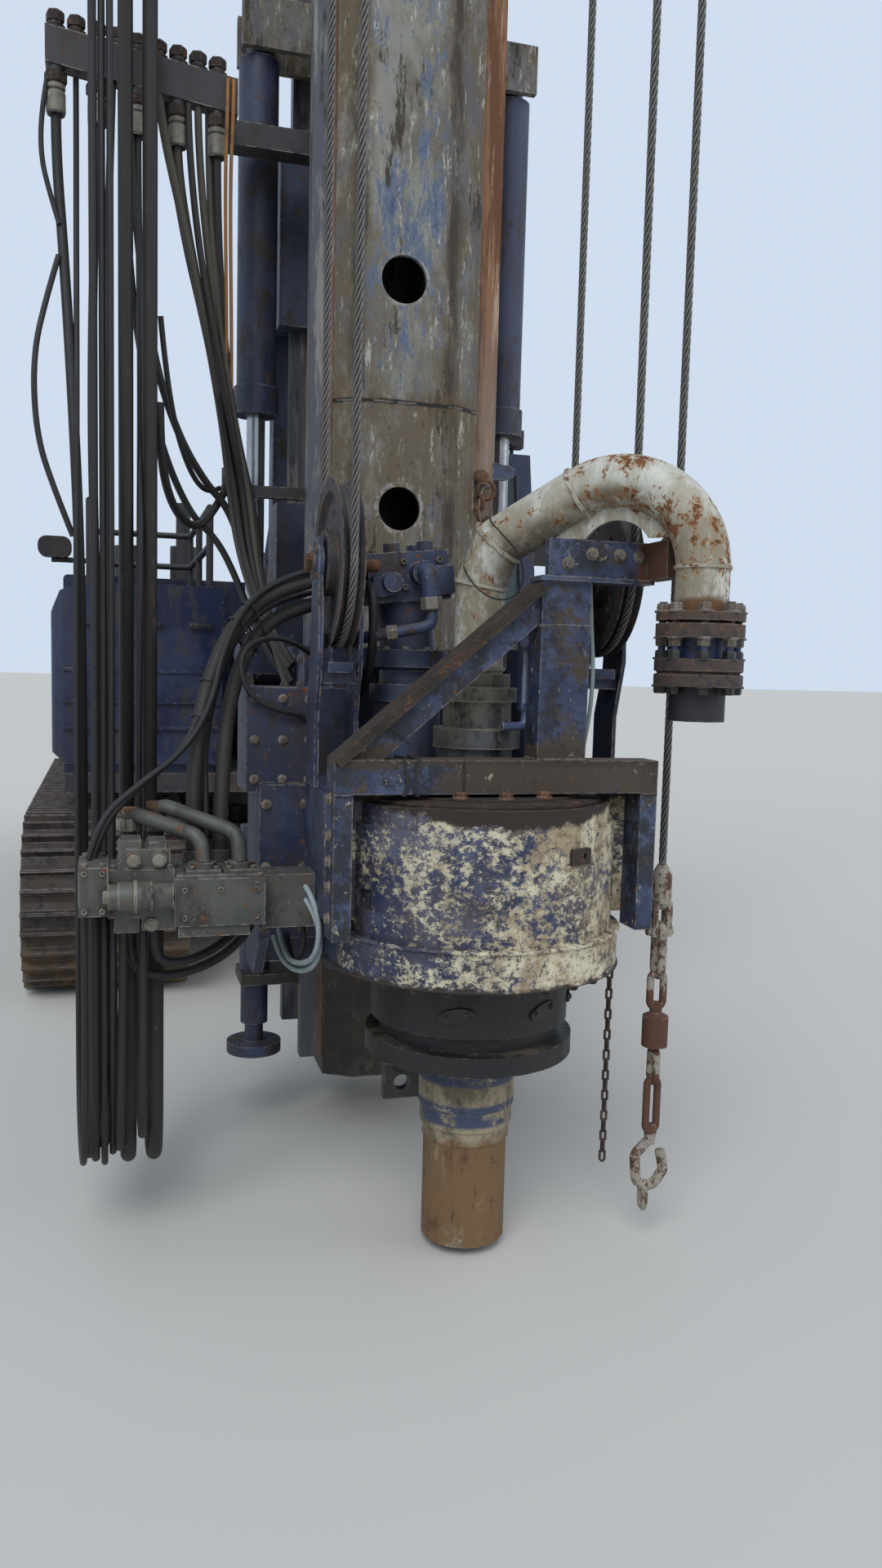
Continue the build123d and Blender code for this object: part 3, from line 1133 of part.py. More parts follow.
def casing():
    y = PILE_Y
    return turned([(SPINDLE_BORE, CASING_LOW), (CASING_RADIUS, CASING_LOW), (CASING_RADIUS, 330), (128, 334),
                   (128, 372), (135, 376), (135, 430), (141, 436), (141, 600 - SEAT), (SPINDLE_BORE, 600 - SEAT)], 0, y)


def link(x, y, low, high, half, bar, across):
    """A closed link of round bar, long way up; across is its flat direction, 0 for X and 90 for Y."""
    middle, reach = (low + high) / 2, (high - low) / 2 - bar
    ring = RectangleRounded(2 * (half - bar), 2 * reach, (half - bar) * 0.98)
    path = ring.wire()
    start = path @ 0
    section = Plane(origin=start, z_dir=path % 0) * Circle(bar)
    loop = Rot(90, 0, 0) * sweep(section, path=path)
    return Pos(x, y, middle) * Rot(0, 0, across) * loop


def hook():
    """The hook line's end: rope socket, shackles, swivel, long link, safety hook and end link."""
    x, y = HOOK_X, behind(HOOK_P)
    total = turned([(0, 1010), (16, 1010), (30, 1030), (30, 1110), (14, HOOK_TOP), (0, HOOK_TOP)], x, y)
    total += box(x - 30, x - 14, y - 20, y + 20, 930, 1030) + box(x + 14, x + 30, y - 20, y + 20, 930, 1030)
    total += bar_x(x - 40, x + 40, y, 945, 13)
    total += link(x, y, 800, 975, 36, 13, 90)
    total += link(x, y, 705, 832, 32, 11, 0)
    total += turned([(0, 575), (15, 575), (15, 600), (38, 600), (38, 690), (18, 700), (18, 730), (0, 730)], x, y)
    total += link(x, y, 480, 600, 30, 11, 90)
    total += link(x, y, 330, 508, 28, 11, 0)
    total += turned([(0, 300), (14, 300), (20, 345), (12, 360), (0, 360)], x, y)
    bow = FilletPolyline((x, y, 315), (x - 48, y, 270), (x - 40, y, 185), (x + 12, y, 165), (x + 48, y, 215),
                         (x + 34, y, 275), radius=[28, 28, 28, 22])
    total += sweep(Plane(origin=bow @ 0, z_dir=bow % 0) * Circle(15), path=bow)
    return total + link(x - 16, y, 95, 186, 24, 9, 90)


def hung_chain():
    """The short chain that hangs from the drum's ring, each link turned a quarter to the one above."""
    pitch = (CHAIN_TOP - CHAIN_END) / CHAIN_LINKS
    half, reach, cut = CHAIN_WIDE / 2, (pitch + CHAIN_BAR) / 2 + 2, CHAIN_WIDE / 3
    outline = [
        (-half, cut - reach), (cut - half, -reach), (half - cut, -reach), (half, cut - reach),
        (half, reach - cut), (half - cut, reach), (cut - half, reach), (-half, reach - cut),
    ]
    face = make_face(Polyline(*outline, close=True))
    face -= Rectangle(CHAIN_WIDE - 2 * CHAIN_BAR, 2 * (reach - CHAIN_BAR))
    link = extrude(Plane.XZ * face, amount=CHAIN_BAR / 2, both=True)
    chain = Part()
    for n in range(CHAIN_LINKS):
        chain += Pos(CHAIN_X, behind(CHAIN_P), CHAIN_TOP - (n + 0.5) * pitch) * Rot(0, 0, 90 * (n % 2 + 1)) * link
    return chain


def ropes():
    """The hook rope and the two hoist ropes behind the mast, all held taut."""
    total = post(HOOK_X, behind(HOOK_P), ROPE_RADIUS, HOOK_TOP + SEAT, HEAD_Z)
    for x, z in zip((-WINCH_ROPE_X, WINCH_ROPE_X), WINCHES):
        total += post(x, behind(WINCH_ROPE_P), ROPE_RADIUS, z, HEAD_Z)
    return total


def winch_frames():
    frames = Part()
    rear = MAST_FRONT + MAST_DEPTH
    for z in WINCHES:
        for s in (-1, 1):
            x0, x1 = sorted((s * (WINCH_HALF + 30), s * WINCH_HALF))
            frames += pbox(x0, x1, rear + SEAT, WINCH_P + 90, z - 200, z + 200)
        frames += pbox(-WINCH_HALF - 30, WINCH_HALF + 30, rear + SEAT, rear + 40, z - 200, z + 200)
    return frames


def winch_drum(z):
    y = behind(WINCH_P)
    half = WINCH_HALF - SEAT
    drum = bar_x(-half, half, y, z, DRUM_CORE)
    for x in (-half, half - 24):
        drum += bar_x(x, x + 24, y, z, 230)
    return drum


def hose_manifold():
    """The tilted bar with bulkhead fittings, the hook bar below it and the hose saddle above."""
    outer, inner = MANIFOLD_SPAN
    rear = ARM_P + ARM_DEEP
    outline = [
        (outer, MANIFOLD_Z + 20), (outer, MANIFOLD_Z + 130), (inner, MANIFOLD_Z + 130 - MANIFOLD_DROP),
        (inner, MANIFOLD_Z + 20 - MANIFOLD_DROP),
    ]
    bar = plate_y(outline, MANIFOLD_P - MANIFOLD_HALF, MANIFOLD_P + MANIFOLD_HALF)
    bar += pbox(inner - 60, inner, MANIFOLD_P + MANIFOLD_HALF - 1, rear, MANIFOLD_Z - 40, MANIFOLD_Z + 40)
    bar += pbox(inner - 60, -MAST_HALF - SEAT, ARM_P, rear, MANIFOLD_Z - 40, MANIFOLD_Z + 40)
    for n in range(9):
        x = outer + 30 + n * 62
        drop = (x - outer) * MANIFOLD_DROP / (inner - outer)
        bar += post(x, behind(MANIFOLD_P), 22, MANIFOLD_Z + 100 - drop, MANIFOLD_Z + 175 - drop)
        if n % 2 == 0:
            bar += post(x, behind(MANIFOLD_P), 27, MANIFOLD_Z - 120 - drop, MANIFOLD_Z + 40 - drop)
    hooks = pbox(inner - 20, -MAST_HALF - SEAT, ARM_P + 10, ARM_P + 50, HOOK_BAR_Z, HOOK_BAR_Z + 40)
    hooks += post(inner - 5, behind(ARM_P + 30), 15, HOOK_BAR_Z, HOOK_BAR_Z + 95)
    saddle = pbox(-1090, -700, 430, 740, SADDLE_Z, SADDLE_Z + 60)
    saddle += pbox(-760, -700, 700, rear, SADDLE_Z, SADDLE_Z + 60)
    saddle += pbox(-760, -MAST_HALF - SEAT, ARM_P, rear, SADDLE_Z, SADDLE_Z + 60)
    for name in HUNG_HOSES:
        saddle += hose_fitting(name, 0)
    return bar + hooks + saddle


# Hoses
def hose(points, radius):
    """A hose along straight runs joined by arcs, and its length along the middle."""
    places = [Vector(x, behind(p), z) for x, p, z in points]
    runs = [(b - a).length for a, b in zip(places, places[1:])]
    radii = []
    for n in range(1, len(places) - 1):
        turn = (places[n] - places[n - 1]).get_angle(places[n + 1] - places[n])
        radii.append(HOSE_SHARE * min(runs[n - 1], runs[n]) / math.tan(math.radians(turn) / 2))
    line = FilletPolyline(*places, radius=radii)
    print("hose radius", radius, "bends", [round(value) for value in radii], "length", round(line.length))
    return sweep(Plane(origin=places[0], z_dir=places[1] - places[0]) * Circle(radius), path=line)


def hose_fitting(name, end):
    """The collar that a hose's first (0) or last (-1) end meets face to face, in line with its end run."""
    radius, points = HOSE_ROUTES[name]
    tip, inner = (points[0], points[1]) if end == 0 else (points[-1], points[-2])
    tip, inner = [Vector(x, behind(p), z) for x, p, z in (tip, inner)]
    outward = (tip - inner).normalized()
    length = FITTING_LENGTH[name]
    middle = tip + outward * (SEAT + length / 2)
    return Plane(origin=middle, z_dir=outward) * Cylinder(radius + FITTING_WALL, length)


def main():
    save("track_left", track(TRACK_X))
    save("track_right", track(-TRACK_X))
    save("track_wheels", track_wheels())
    save("track_frames", track_frames())
    save("car_body", car_body())
    save("slew_ring", slew_ring())
    save("upper_frame", upper_frame())
    save("tank_house", tank_house())
    save("engine_house", engine_house())
    save("engine_block", engine_block())
    save("counterweight", counterweight())
    save("cab_shell", cab_shell())
    save("cab_glass", cab_glass())
    save("cab_fittings", cab_fittings())
    save("cab_door", cab_door())
    save("cab_door_glass", cab_door_glass())
    save("rails_and_mirrors", rails_and_mirrors())
    save("roof_fittings", roof_fittings())
    save("service_door_left", service_door(1))
    save("service_door_right", service_door(-1))
    save("boom", boom())
    save("boom_cylinder_barrels", cylinder_barrels(LIFT_X, LIFT_FOOT, LIFT_EYE, 62, 36, 790))
    save("boom_cylinder_rods", cylinder_rods(LIFT_X, LIFT_FOOT, LIFT_EYE, 35, 115))
    save("mast_bracket", mast_bracket())
    save("mast_lift_rods", mast_lift_rods())
    save("tilt_cylinder_barrels", cylinder_barrels(TILT_X, TILT_FOOT, TILT_EYE, 62, 38, 1080))
    save("tilt_cylinder_rods", cylinder_rods(TILT_X, TILT_FOOT, TILT_EYE, 37, 640))
    save("mast_lower", mast_lower())
    save("mast_upper", mast_upper())
    save("mast_rails", mast_rails())
    save("mast_head", mast_head())
    save("mast_lift_barrels", mast_lift_barrels())
    save("mast_jacks", mast_jacks())
    save("hose_manifold", hose_manifold())
    save("winch_frames", winch_frames())
    save("ropes", ropes())
    save("winch_drum_lower", winch_drum(WINCHES[0]))
    save("winch_drum_upper", winch_drum(WINCHES[1]))
    save("head_sheaves", head_sheaves())
    save("rear_sheaves", rear_sheaves())
    save("hook", hook())
    save("carriage_frame", carriage_frame())
    save("drive_housing", drive_housing())
    save("drive_cover", drive_cover())
    save("support_frame", support_frame())
    save("drive_motors", drive_motors())
    save("swivel", swivel())
    save("gooseneck", gooseneck())
    save("flange_stack", flange_stack())
    save("valve_block", valve_block())
    save("sheave_brackets", sheave_brackets())
    save("sheave_left", carriage_sheave(1))
    save("sheave_right", carriage_sheave(-1))
    save("chuck", chuck())
    save("casing", casing())
    for name, (radius, points) in HOSE_ROUTES.items():
        save(name, hose(points, radius))


main()
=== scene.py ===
"""Rotary piling rig, dressed for the render. Metres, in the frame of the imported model."""
import json
import math

import bmesh
import bpy
from mathutils import Matrix, Vector


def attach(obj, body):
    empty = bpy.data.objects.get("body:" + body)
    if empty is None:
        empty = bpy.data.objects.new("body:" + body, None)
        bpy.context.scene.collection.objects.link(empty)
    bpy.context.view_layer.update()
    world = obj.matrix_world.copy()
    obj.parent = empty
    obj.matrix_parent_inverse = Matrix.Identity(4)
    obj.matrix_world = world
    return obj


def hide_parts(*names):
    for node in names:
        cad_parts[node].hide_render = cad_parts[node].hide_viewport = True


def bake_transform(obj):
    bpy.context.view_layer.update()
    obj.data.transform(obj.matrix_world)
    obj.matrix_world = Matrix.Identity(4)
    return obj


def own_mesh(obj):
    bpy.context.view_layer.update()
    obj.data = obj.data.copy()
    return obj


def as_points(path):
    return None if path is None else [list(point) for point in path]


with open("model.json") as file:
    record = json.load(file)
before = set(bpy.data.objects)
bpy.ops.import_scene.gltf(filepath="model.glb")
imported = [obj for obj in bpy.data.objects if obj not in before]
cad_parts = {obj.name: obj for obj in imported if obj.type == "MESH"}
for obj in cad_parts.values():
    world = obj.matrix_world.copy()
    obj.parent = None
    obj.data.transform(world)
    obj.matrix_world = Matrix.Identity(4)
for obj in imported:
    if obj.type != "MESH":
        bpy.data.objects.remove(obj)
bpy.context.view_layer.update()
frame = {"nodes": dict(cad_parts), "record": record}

UP, DOWN, FRONT = (0, 0, 1), (0, 0, -1), (0, -1, 0)
PILE_Y = -3.71              # the pile axis; distances behind it are called p
HEAD_Z = 15.56              # height of the head's shafts
HEAD_P = 0.07               # the head's front shaft and the carriage sheaves' shafts
HEAD_REACH = 0.207          # from a head shaft to its rope
REAR_P = 1.433              # the head's rear shaft
WINCH_P = 1.78
WINCH_ROPE_P = 1.641
WINCHES = {"winch_lower": 4.6, "winch_upper": 5.5}
WINCH_ROPE_X = 0.09
WINCH_ROPE_RADIUS = 0.009
HOOK_X = 0.535
SHEAVE_X, SHEAVE_Z = 0.395, 1.97
SHEAVE_REACH = 0.2255       # from a carriage sheave's shaft to its rope
ROPE_RADIUS = 0.0115
LAY, FAR_LAY = 0.15, 0.30   # one whole turn of a rope's strands, near and in far straight runs
OUTLET = (0.465, -0.42)
OUTLET_Z = 1.85
OUTLET_REACH = math.hypot(*OUTLET)
PIPE_RADIUS = 0.06985
VALVE_PORTS = (-0.760, -0.660)
VALVE_PIPES = (-0.955, -0.880)
MANIFOLD_P = 0.86
MAST_JOINT = 2.60
MAST_HOLES = (2.24, 3.01)
MOTOR = (-0.155, 0.20, 1.73)


def at(x, p, z):
    """A point at distance p behind the pile axis."""
    return Vector((x, PILE_Y + p, z))


# The ends of the diagonal brace's top edge, the direction along it and the one square to it
BRACE_LOW, BRACE_HIGH = at(-0.452, 0, 1.447), at(0.094, 0, 1.918)
BRACE_ALONG = (BRACE_HIGH - BRACE_LOW).normalized()
BRACE_RISE = Vector((-BRACE_ALONG.z, 0, BRACE_ALONG.x))


# Camera and stage
CAMERA_PLACE = (-1.006, -3.104, 1.692)
CAMERA_TURN, CAMERA_PITCH, CAMERA_ROLL = 16.26, 5.82, 1.51      # degrees
CAMERA_LENS = 26.25


def add_camera():
    """The photograph's view: at eye height, from the left of the pile axis."""
    turn, pitch, roll = math.radians(CAMERA_TURN), math.radians(CAMERA_PITCH), math.radians(CAMERA_ROLL)
    level = Vector((math.sin(turn), math.cos(turn), 0))
    right = Vector((math.cos(turn), -math.sin(turn), 0))
    ahead = level * math.cos(pitch) - Vector((0, 0, math.sin(pitch)))
    up = Vector((0, 0, math.cos(pitch))) + level * math.sin(pitch)
    image_x = right * math.cos(roll) + up * math.sin(roll)
    image_y = up * math.cos(roll) - right * math.sin(roll)
    data = bpy.data.cameras.new("camera")
    data.lens = CAMERA_LENS
    data.sensor_width = 36
    data.clip_end = 300
    camera = bpy.data.objects.new("camera", data)
    columns = Matrix((image_x, image_y, -ahead)).transposed()
    camera.matrix_world = Matrix.Translation(at(*CAMERA_PLACE)) @ columns.to_4x4()
    bpy.context.collection.objects.link(camera)
    bpy.context.scene.camera = camera


def add_sun(name, strength, place, aim, spread):
    data = bpy.data.lights.new(name, "SUN")
    data.energy = strength
    data.angle = math.radians(spread)
    lamp = bpy.data.objects.new(name, data)
    lamp.location = place
    lamp.rotation_euler = (Vector(aim) - Vector(place)).to_track_quat("-Z", "Y").to_euler()
    bpy.context.collection.objects.link(lamp)


def add_stage():
    """A pale floor, an overcast sky and two soft suns."""
    floor = bpy.data.meshes.new("floor")
    reach = 120.0
    corners = [(-reach, -reach, 0), (reach, -reach, 0), (reach, reach, 0), (-reach, reach, 0)]
    floor.from_pydata(corners, [], [(0, 1, 2, 3)])
    ground = bpy.data.objects.new("floor", floor)
    bpy.context.collection.objects.link(ground)
    material = bpy.data.materials.new("floor")
    material.use_nodes = True
    shader = material.node_tree.nodes["Principled BSDF"]
    shader.inputs["Base Color"].default_value = (0.56, 0.56, 0.55, 1)
    shader.inputs["Roughness"].default_value = 0.9
    floor.materials.append(material)

    world = bpy.data.worlds.new("world")
    bpy.context.scene.world = world
    world.use_nodes = True
    nodes, links = world.node_tree.nodes, world.node_tree.links
    soft = nodes["Background"]
    soft.inputs["Color"].default_value = (0.88, 0.94, 1.0, 1)
    soft.inputs["Strength"].default_value = 0.60
    seen = nodes.new("ShaderNodeBackground")
    seen.inputs["Color"].default_value = (0.63, 0.73, 0.86, 1)
    seen.inputs["Strength"].default_value = 1.0
    path = nodes.new("ShaderNodeLightPath")
    shown = path.outputs["Is Camera Ray"]
    for ray in ("Is Glossy Ray", "Is Transmission Ray"):
        either = nodes.new("ShaderNodeMath")
        either.operation = "MAXIMUM"
        links.new(shown, either.inputs[0])
        links.new(path.outputs[ray], either.inputs[1])
        shown = either.outputs[0]
    mix = nodes.new("ShaderNodeMixShader")
    links.new(shown, mix.inputs["Fac"])
    links.new(soft.outputs["Background"], mix.inputs[1])
    links.new(seen.outputs["Background"], mix.inputs[2])
    links.new(mix.outputs["Shader"], nodes["World Output"].inputs["Surface"])
    bpy.context.scene.view_settings.view_transform = "Standard"

    add_sun("sky_key", 1.5, (-6, -14, 16), (0, -2, 2), 35)
    add_sun("sky_fill", 0.5, (14, -8, 9), (0, 0, 2), 50)


# Materials
def srgb(colour):
    """A linear colour from the red, green and blue of a screen, each 0 to 255."""
    def linear(value):
        share = value / 255
        return share / 12.92 if share <= 0.04045 else ((share + 0.055) / 1.055) ** 2.4
    return (*map(linear, colour), 1.0)


class Finish:
    """A node material built up in layers, each laid over the last by a mask."""

    def __init__(self, name, colour, roughness):
        self.material = bpy.data.materials.new(name)
        self.material.use_nodes = True
        self.tree = self.material.node_tree
        self.shader = self.tree.nodes["Principled BSDF"]
        self.shader.inputs["Roughness"].default_value = roughness
        self.place = self.new("ShaderNodeTexCoord").outputs["Object"]
        self.colour = srgb(colour)
        self.rough = roughness
        self.bumps = []

    def new(self, kind):
        return self.tree.nodes.new(kind)

    def put(self, socket, value):
        if isinstance(value, bpy.types.NodeSocket):
            self.tree.links.new(value, socket)
        else:
            socket.default_value = value

    def math(self, operation, first, second=0.0):
        node = self.new("ShaderNodeMath")
        node.operation = operation
        self.put(node.inputs[0], first)
        self.put(node.inputs[1], second)
        return node.outputs[0]

    def times(self, first, second):
        return self.math("MULTIPLY", first, second)

    def add(self, first, second):
        return self.math("ADD", first, second)

    def either(self, first, second):
        """Where one of two masks is high."""
        return self.math("MAXIMUM", first, second)

    def inverse(self, mask):
        return self.math("SUBTRACT", 1.0, mask)

    def both(self, *masks):
        """Where all the masks are high."""
        total = masks[0]
        for mask in masks[1:]:
            total = self.times(total, mask)
        return total

    def noise(self, scale, detail=4.0, roughness=0.6, tall=1.0, shift=0.0, warp=0.0, wide=1.0):
        """Noise with features of about 1/scale metres, stretched by wide in X and Y and by tall in Z."""
        mapping = self.new("ShaderNodeMapping")
        mapping.inputs["Scale"].default_value = (1 / wide, 1 / wide, 1 / tall)
        mapping.inputs["Location"].default_value = (shift, shift, shift)
        self.put(mapping.inputs["Vector"], self.place)
        node = self.new("ShaderNodeTexNoise")
        node.inputs["Scale"].default_value = scale
        node.inputs["Detail"].default_value = detail
        node.inputs["Roughness"].default_value = roughness
        node.inputs["Distortion"].default_value = warp
        self.put(node.inputs["Vector"], mapping.outputs["Vector"])
        return node.outputs["Fac"]

    def sway(self, amount, *noise, **more):
        """Noise about zero, as wide as the amount."""
        return self.times(self.math("SUBTRACT", self.noise(*noise, **more), 0.5), amount)

    def step(self, value, low, high):
        """0 below low, 1 above high and smooth between them."""
        node = self.new("ShaderNodeMapRange")
        node.interpolation_type = "SMOOTHSTEP"
        self.put(node.inputs["Value"], value)
        node.inputs["From Min"].default_value = low
        node.inputs["From Max"].default_value = high
        return node.outputs["Result"]

    def fall(self, value, low, high):
        """1 below low, 0 above high."""
        return self.inverse(self.step(value, low, high))

    def band(self, value, low, from_here, to_here, high):
        """1 between the two inner values, 0 below low and above high."""
        return self.both(self.step(value, low, from_here), self.fall(value, to_here, high))

    def patches(self, low, high, *noise, **more):
        """Where a noise is high."""
        return self.step(self.noise(*noise, **more), low, high)

    def axis(self, letter):
        node = self.new("ShaderNodeSeparateXYZ")
        self.put(node.inputs[0], self.place)
        return node.outputs[letter]

    def above(self, letter, low, high):
        return self.step(self.axis(letter), low, high)

    def below(self, letter, low, high):
        return self.fall(self.axis(letter), low, high)

    def edges(self, radius, low=0.03, high=0.16):
        """A mask of the edges, from how far a rounded normal departs from the true one."""
        bevel = self.new("ShaderNodeBevel")
        bevel.samples = 4
        bevel.inputs["Radius"].default_value = radius
        plain = self.new("ShaderNodeNewGeometry")
        dot = self.new("ShaderNodeVectorMath")
        dot.operation = "DOT_PRODUCT"
        self.put(dot.inputs[0], bevel.outputs["Normal"])
        self.put(dot.inputs[1], plain.outputs["Normal"])
        return self.step(self.inverse(dot.outputs["Value"]), low, high)

    def upward(self, low=0.5, high=0.95):
        """A mask of the faces that look up, where dust and mud lie; turned over, it marks undersides for
        painted shade.
        """
        node = self.new("ShaderNodeSeparateXYZ")
        geometry = self.new("ShaderNodeNewGeometry")
        self.put(node.inputs[0], geometry.outputs["Normal"])
        return self.step(node.outputs["Z"], low, high)

    def lay(self, mask, colour, rough=None):
        """Lays a colour, and its roughness, over what is there."""
        mix = self.new("ShaderNodeMix")
        mix.data_type = "RGBA"
        self.put(mix.inputs["Factor"], mask)
        self.put(mix.inputs[6], self.colour)
        self.put(mix.inputs[7], srgb(colour))
        self.colour = mix.outputs[2]
        if rough is not None:
            blend = self.new("ShaderNodeMix")
            self.put(blend.inputs["Factor"], mask)
            self.put(blend.inputs[2], self.rough)
            self.put(blend.inputs[3], rough)
            self.rough = blend.outputs[0]
        return self

    def spread(self, colour, rough, low, high, *noise, where=None, **more):
        """Lays a colour in patches, everywhere or where a mask is high."""
        mask = self.patches(low, high, *noise, **more)
        return self.lay(mask if where is None else self.both(where, mask), colour, rough)

    def bump(self, height, strength, distance):
        self.bumps.append((height, strength, distance))
        return self

    def done(self):
        self.put(self.shader.inputs["Base Color"], self.colour)
        if not isinstance(self.rough, float):
            self.put(self.shader.inputs["Roughness"], self.rough)
        normal = None
        for height, strength, distance in self.bumps:
            node = self.new("ShaderNodeBump")
            node.inputs["Strength"].default_value = strength
            node.inputs["Distance"].default_value = distance
            self.put(node.inputs["Height"], height)
            if normal:
                self.put(node.inputs["Normal"], normal)
            normal = node.outputs["Normal"]
        if normal:
            self.put(self.shader.inputs["Normal"], normal)
        return self.material


NAVY, NAVY_FADED = (38, 45, 70), (62, 70, 96)
GRIME = (54, 46, 40)
DUST = (88, 80, 70)
RUST = (106, 66, 42)
BARE = (164, 160, 152)
CREAM = (202, 196, 172)


def painted(coat, worn, grime=GRIME, rust=0.0, chips=0.5, streaks=0.5, chip=BARE):
    """Old paint: faded patches, grime in streaks, chips along edges, and rust where it is high."""
    coat.spread(worn, coat.rough + 0.15, 0.42, 0.60, 2.2, 7, 0.7)
    coat.spread(grime, 0.7, 0.50, 0.64, 9, 7, 0.76, tall=2, shift=3.0)
    coat.lay(coat.times(coat.patches(0.48, 0.66, 12, 6, 0.7, tall=9), streaks), grime, 0.75)
    coat.spread(DUST, 0.9, 0.44, 0.68, 7, 6, where=coat.upward())
    spots = coat.patches(0.66 - 0.12 * rust, 0.68 - 0.10 * rust, 24, 8, 0.78, warp=0.5)
    coat.lay(spots, RUST, 0.85)
    coat.spread(chip, 0.6, 0.685 - 0.07 * chips, 0.695 - 0.07 * chips, 44, 8, 0.8, warp=0.3, shift=12.0)
    coat.spread(chip, 0.5, 0.60 - 0.28 * chips, 0.66 - 0.22 * chips, 46, 4, where=coat.edges(0.006))
    coat.bump(coat.noise(60, 5), 0.2, 0.003).bump(spots, 0.3, 0.001)


def rusty(coat, dark, pale, grain=30.0, metallic=0.0, flake=RUST):
    """Bare or rusted steel: mottled, darker in hollows, pale where it is rubbed."""
    rough = coat.rough
    coat.shader.inputs["Metallic"].default_value = metallic
    coat.spread(dark, rough, 0.40, 0.62, grain * 0.25, 6, 0.7)
    coat.spread(flake, rough, 0.54, 0.66, grain * 0.6, 6, 0.75, shift=5.0)
    coat.spread(pale, rough - 0.15, 0.60, 0.72, grain, 5, 0.7)
    coat.spread(pale, 0.5, 0.40, 0.60, 30, 3, where=coat.edges(0.005))
    coat.bump(coat.noise(grain * 2.5, 5), 0.4, 0.003)


def rubber(coat, pale, dust=DUST):
    """Rubber with a weathered bloom and dust."""
    coat.spread(pale, 0.75, 0.38, 0.70, 5, 6, 0.7, tall=4)
    coat.spread(dust, 0.9, 0.58, 0.74, 26, 6, 0.75, tall=3, shift=2.0)
    coat.bump(coat.noise(120, 4), 0.2, 0.001)


def rope_with_painted_shade(coat):
    """Wire rope: pale worn crowns on the strands and black painted shade in the hollows between them."""
    coat.spread((46, 44, 46), 0.5, 0.42, 0.62, 3, 5, 0.7, tall=3)
    crown = coat.new("ShaderNodeNewGeometry").outputs["Pointiness"]
    coat.lay(coat.step(crown, 0.52, 0.60), (122, 118, 114), 0.4)
    # Painted shade: black where the mesh is least pointed, in the hollows between the strands
    coat.lay(coat.fall(crown, 0.44, 0.50), (14, 13, 15), 0.8)
    coat.bump(coat.noise(160, 3), 0.2, 0.001)


def peeling(coat, gain):
    """Navy paint over cream undercoat: small ragged flakes in drifts, brown stains to the right and above."""
    coat.spread((74, 82, 108), 0.6, 0.46, 0.62, 6, 7, 0.72)
    coat.spread((40, 42, 58), 0.6, 0.52, 0.62, 13, 8, 0.78, shift=11.0)
    reach = coat.above("X", -0.34, 0.30)
    front = coat.below("Y", PILE_Y - 0.13, PILE_Y - 0.08)
    stain = coat.both(coat.add(0.25, coat.times(reach, 0.6)), front)
    coat.spread((110, 94, 76), 0.85, 0.44, 0.60, 5, 8, 0.74, tall=2, shift=7.0, where=stain)
    drift = coat.add(coat.sway(0.34, 4.6, 4, 0.6, shift=2.0), coat.times(reach, gain))
    grain = coat.add(coat.noise(46, 12, 0.86, wide=1.3, warp=0.1), drift)
    bare = coat.both(front, coat.step(grain, 0.535, 0.550))
    coat.lay(bare, CREAM, 0.75)
    coat.spread((158, 144, 118), 0.85, 0.44, 0.60, 9, 9, 0.78, tall=1.8, shift=4.0, where=bare)
    coat.spread((124, 104, 82), 0.85, 0.50, 0.60, 24, 8, 0.8, shift=14.0, where=coat.both(bare, reach))
    coat.spread((64, 52, 44), 0.85, 0.60, 0.66, 36, 8, 0.8, tall=4, shift=9.0)
    across = coat.times(coat.axis("X"), 2.6)
    sag = coat.times(coat.inverse(coat.times(across, across)), 0.05)
    rim = coat.add(coat.add(coat.axis("Z"), sag), coat.sway(0.12, 14, 7, 0.75, shift=6.0))
    coat.lay(coat.both(front, coat.step(rim, 1.325, 1.345)), (48, 41, 37), 0.9)
    foot = coat.add(coat.axis("Z"), coat.times(coat.noise(16, 6, shift=3.0), 0.05))
    coat.lay(coat.fall(foot, 0.895, 0.905), (48, 42, 40), 0.8)
    coat.spread((96, 72, 54), 0.8, 0.42, 0.55, 40, 4, where=coat.edges(0.006))
    coat.bump(coat.fall(grain, 0.53, 0.55), 0.45, 0.002).bump(coat.noise(70, 5), 0.2, 0.003)


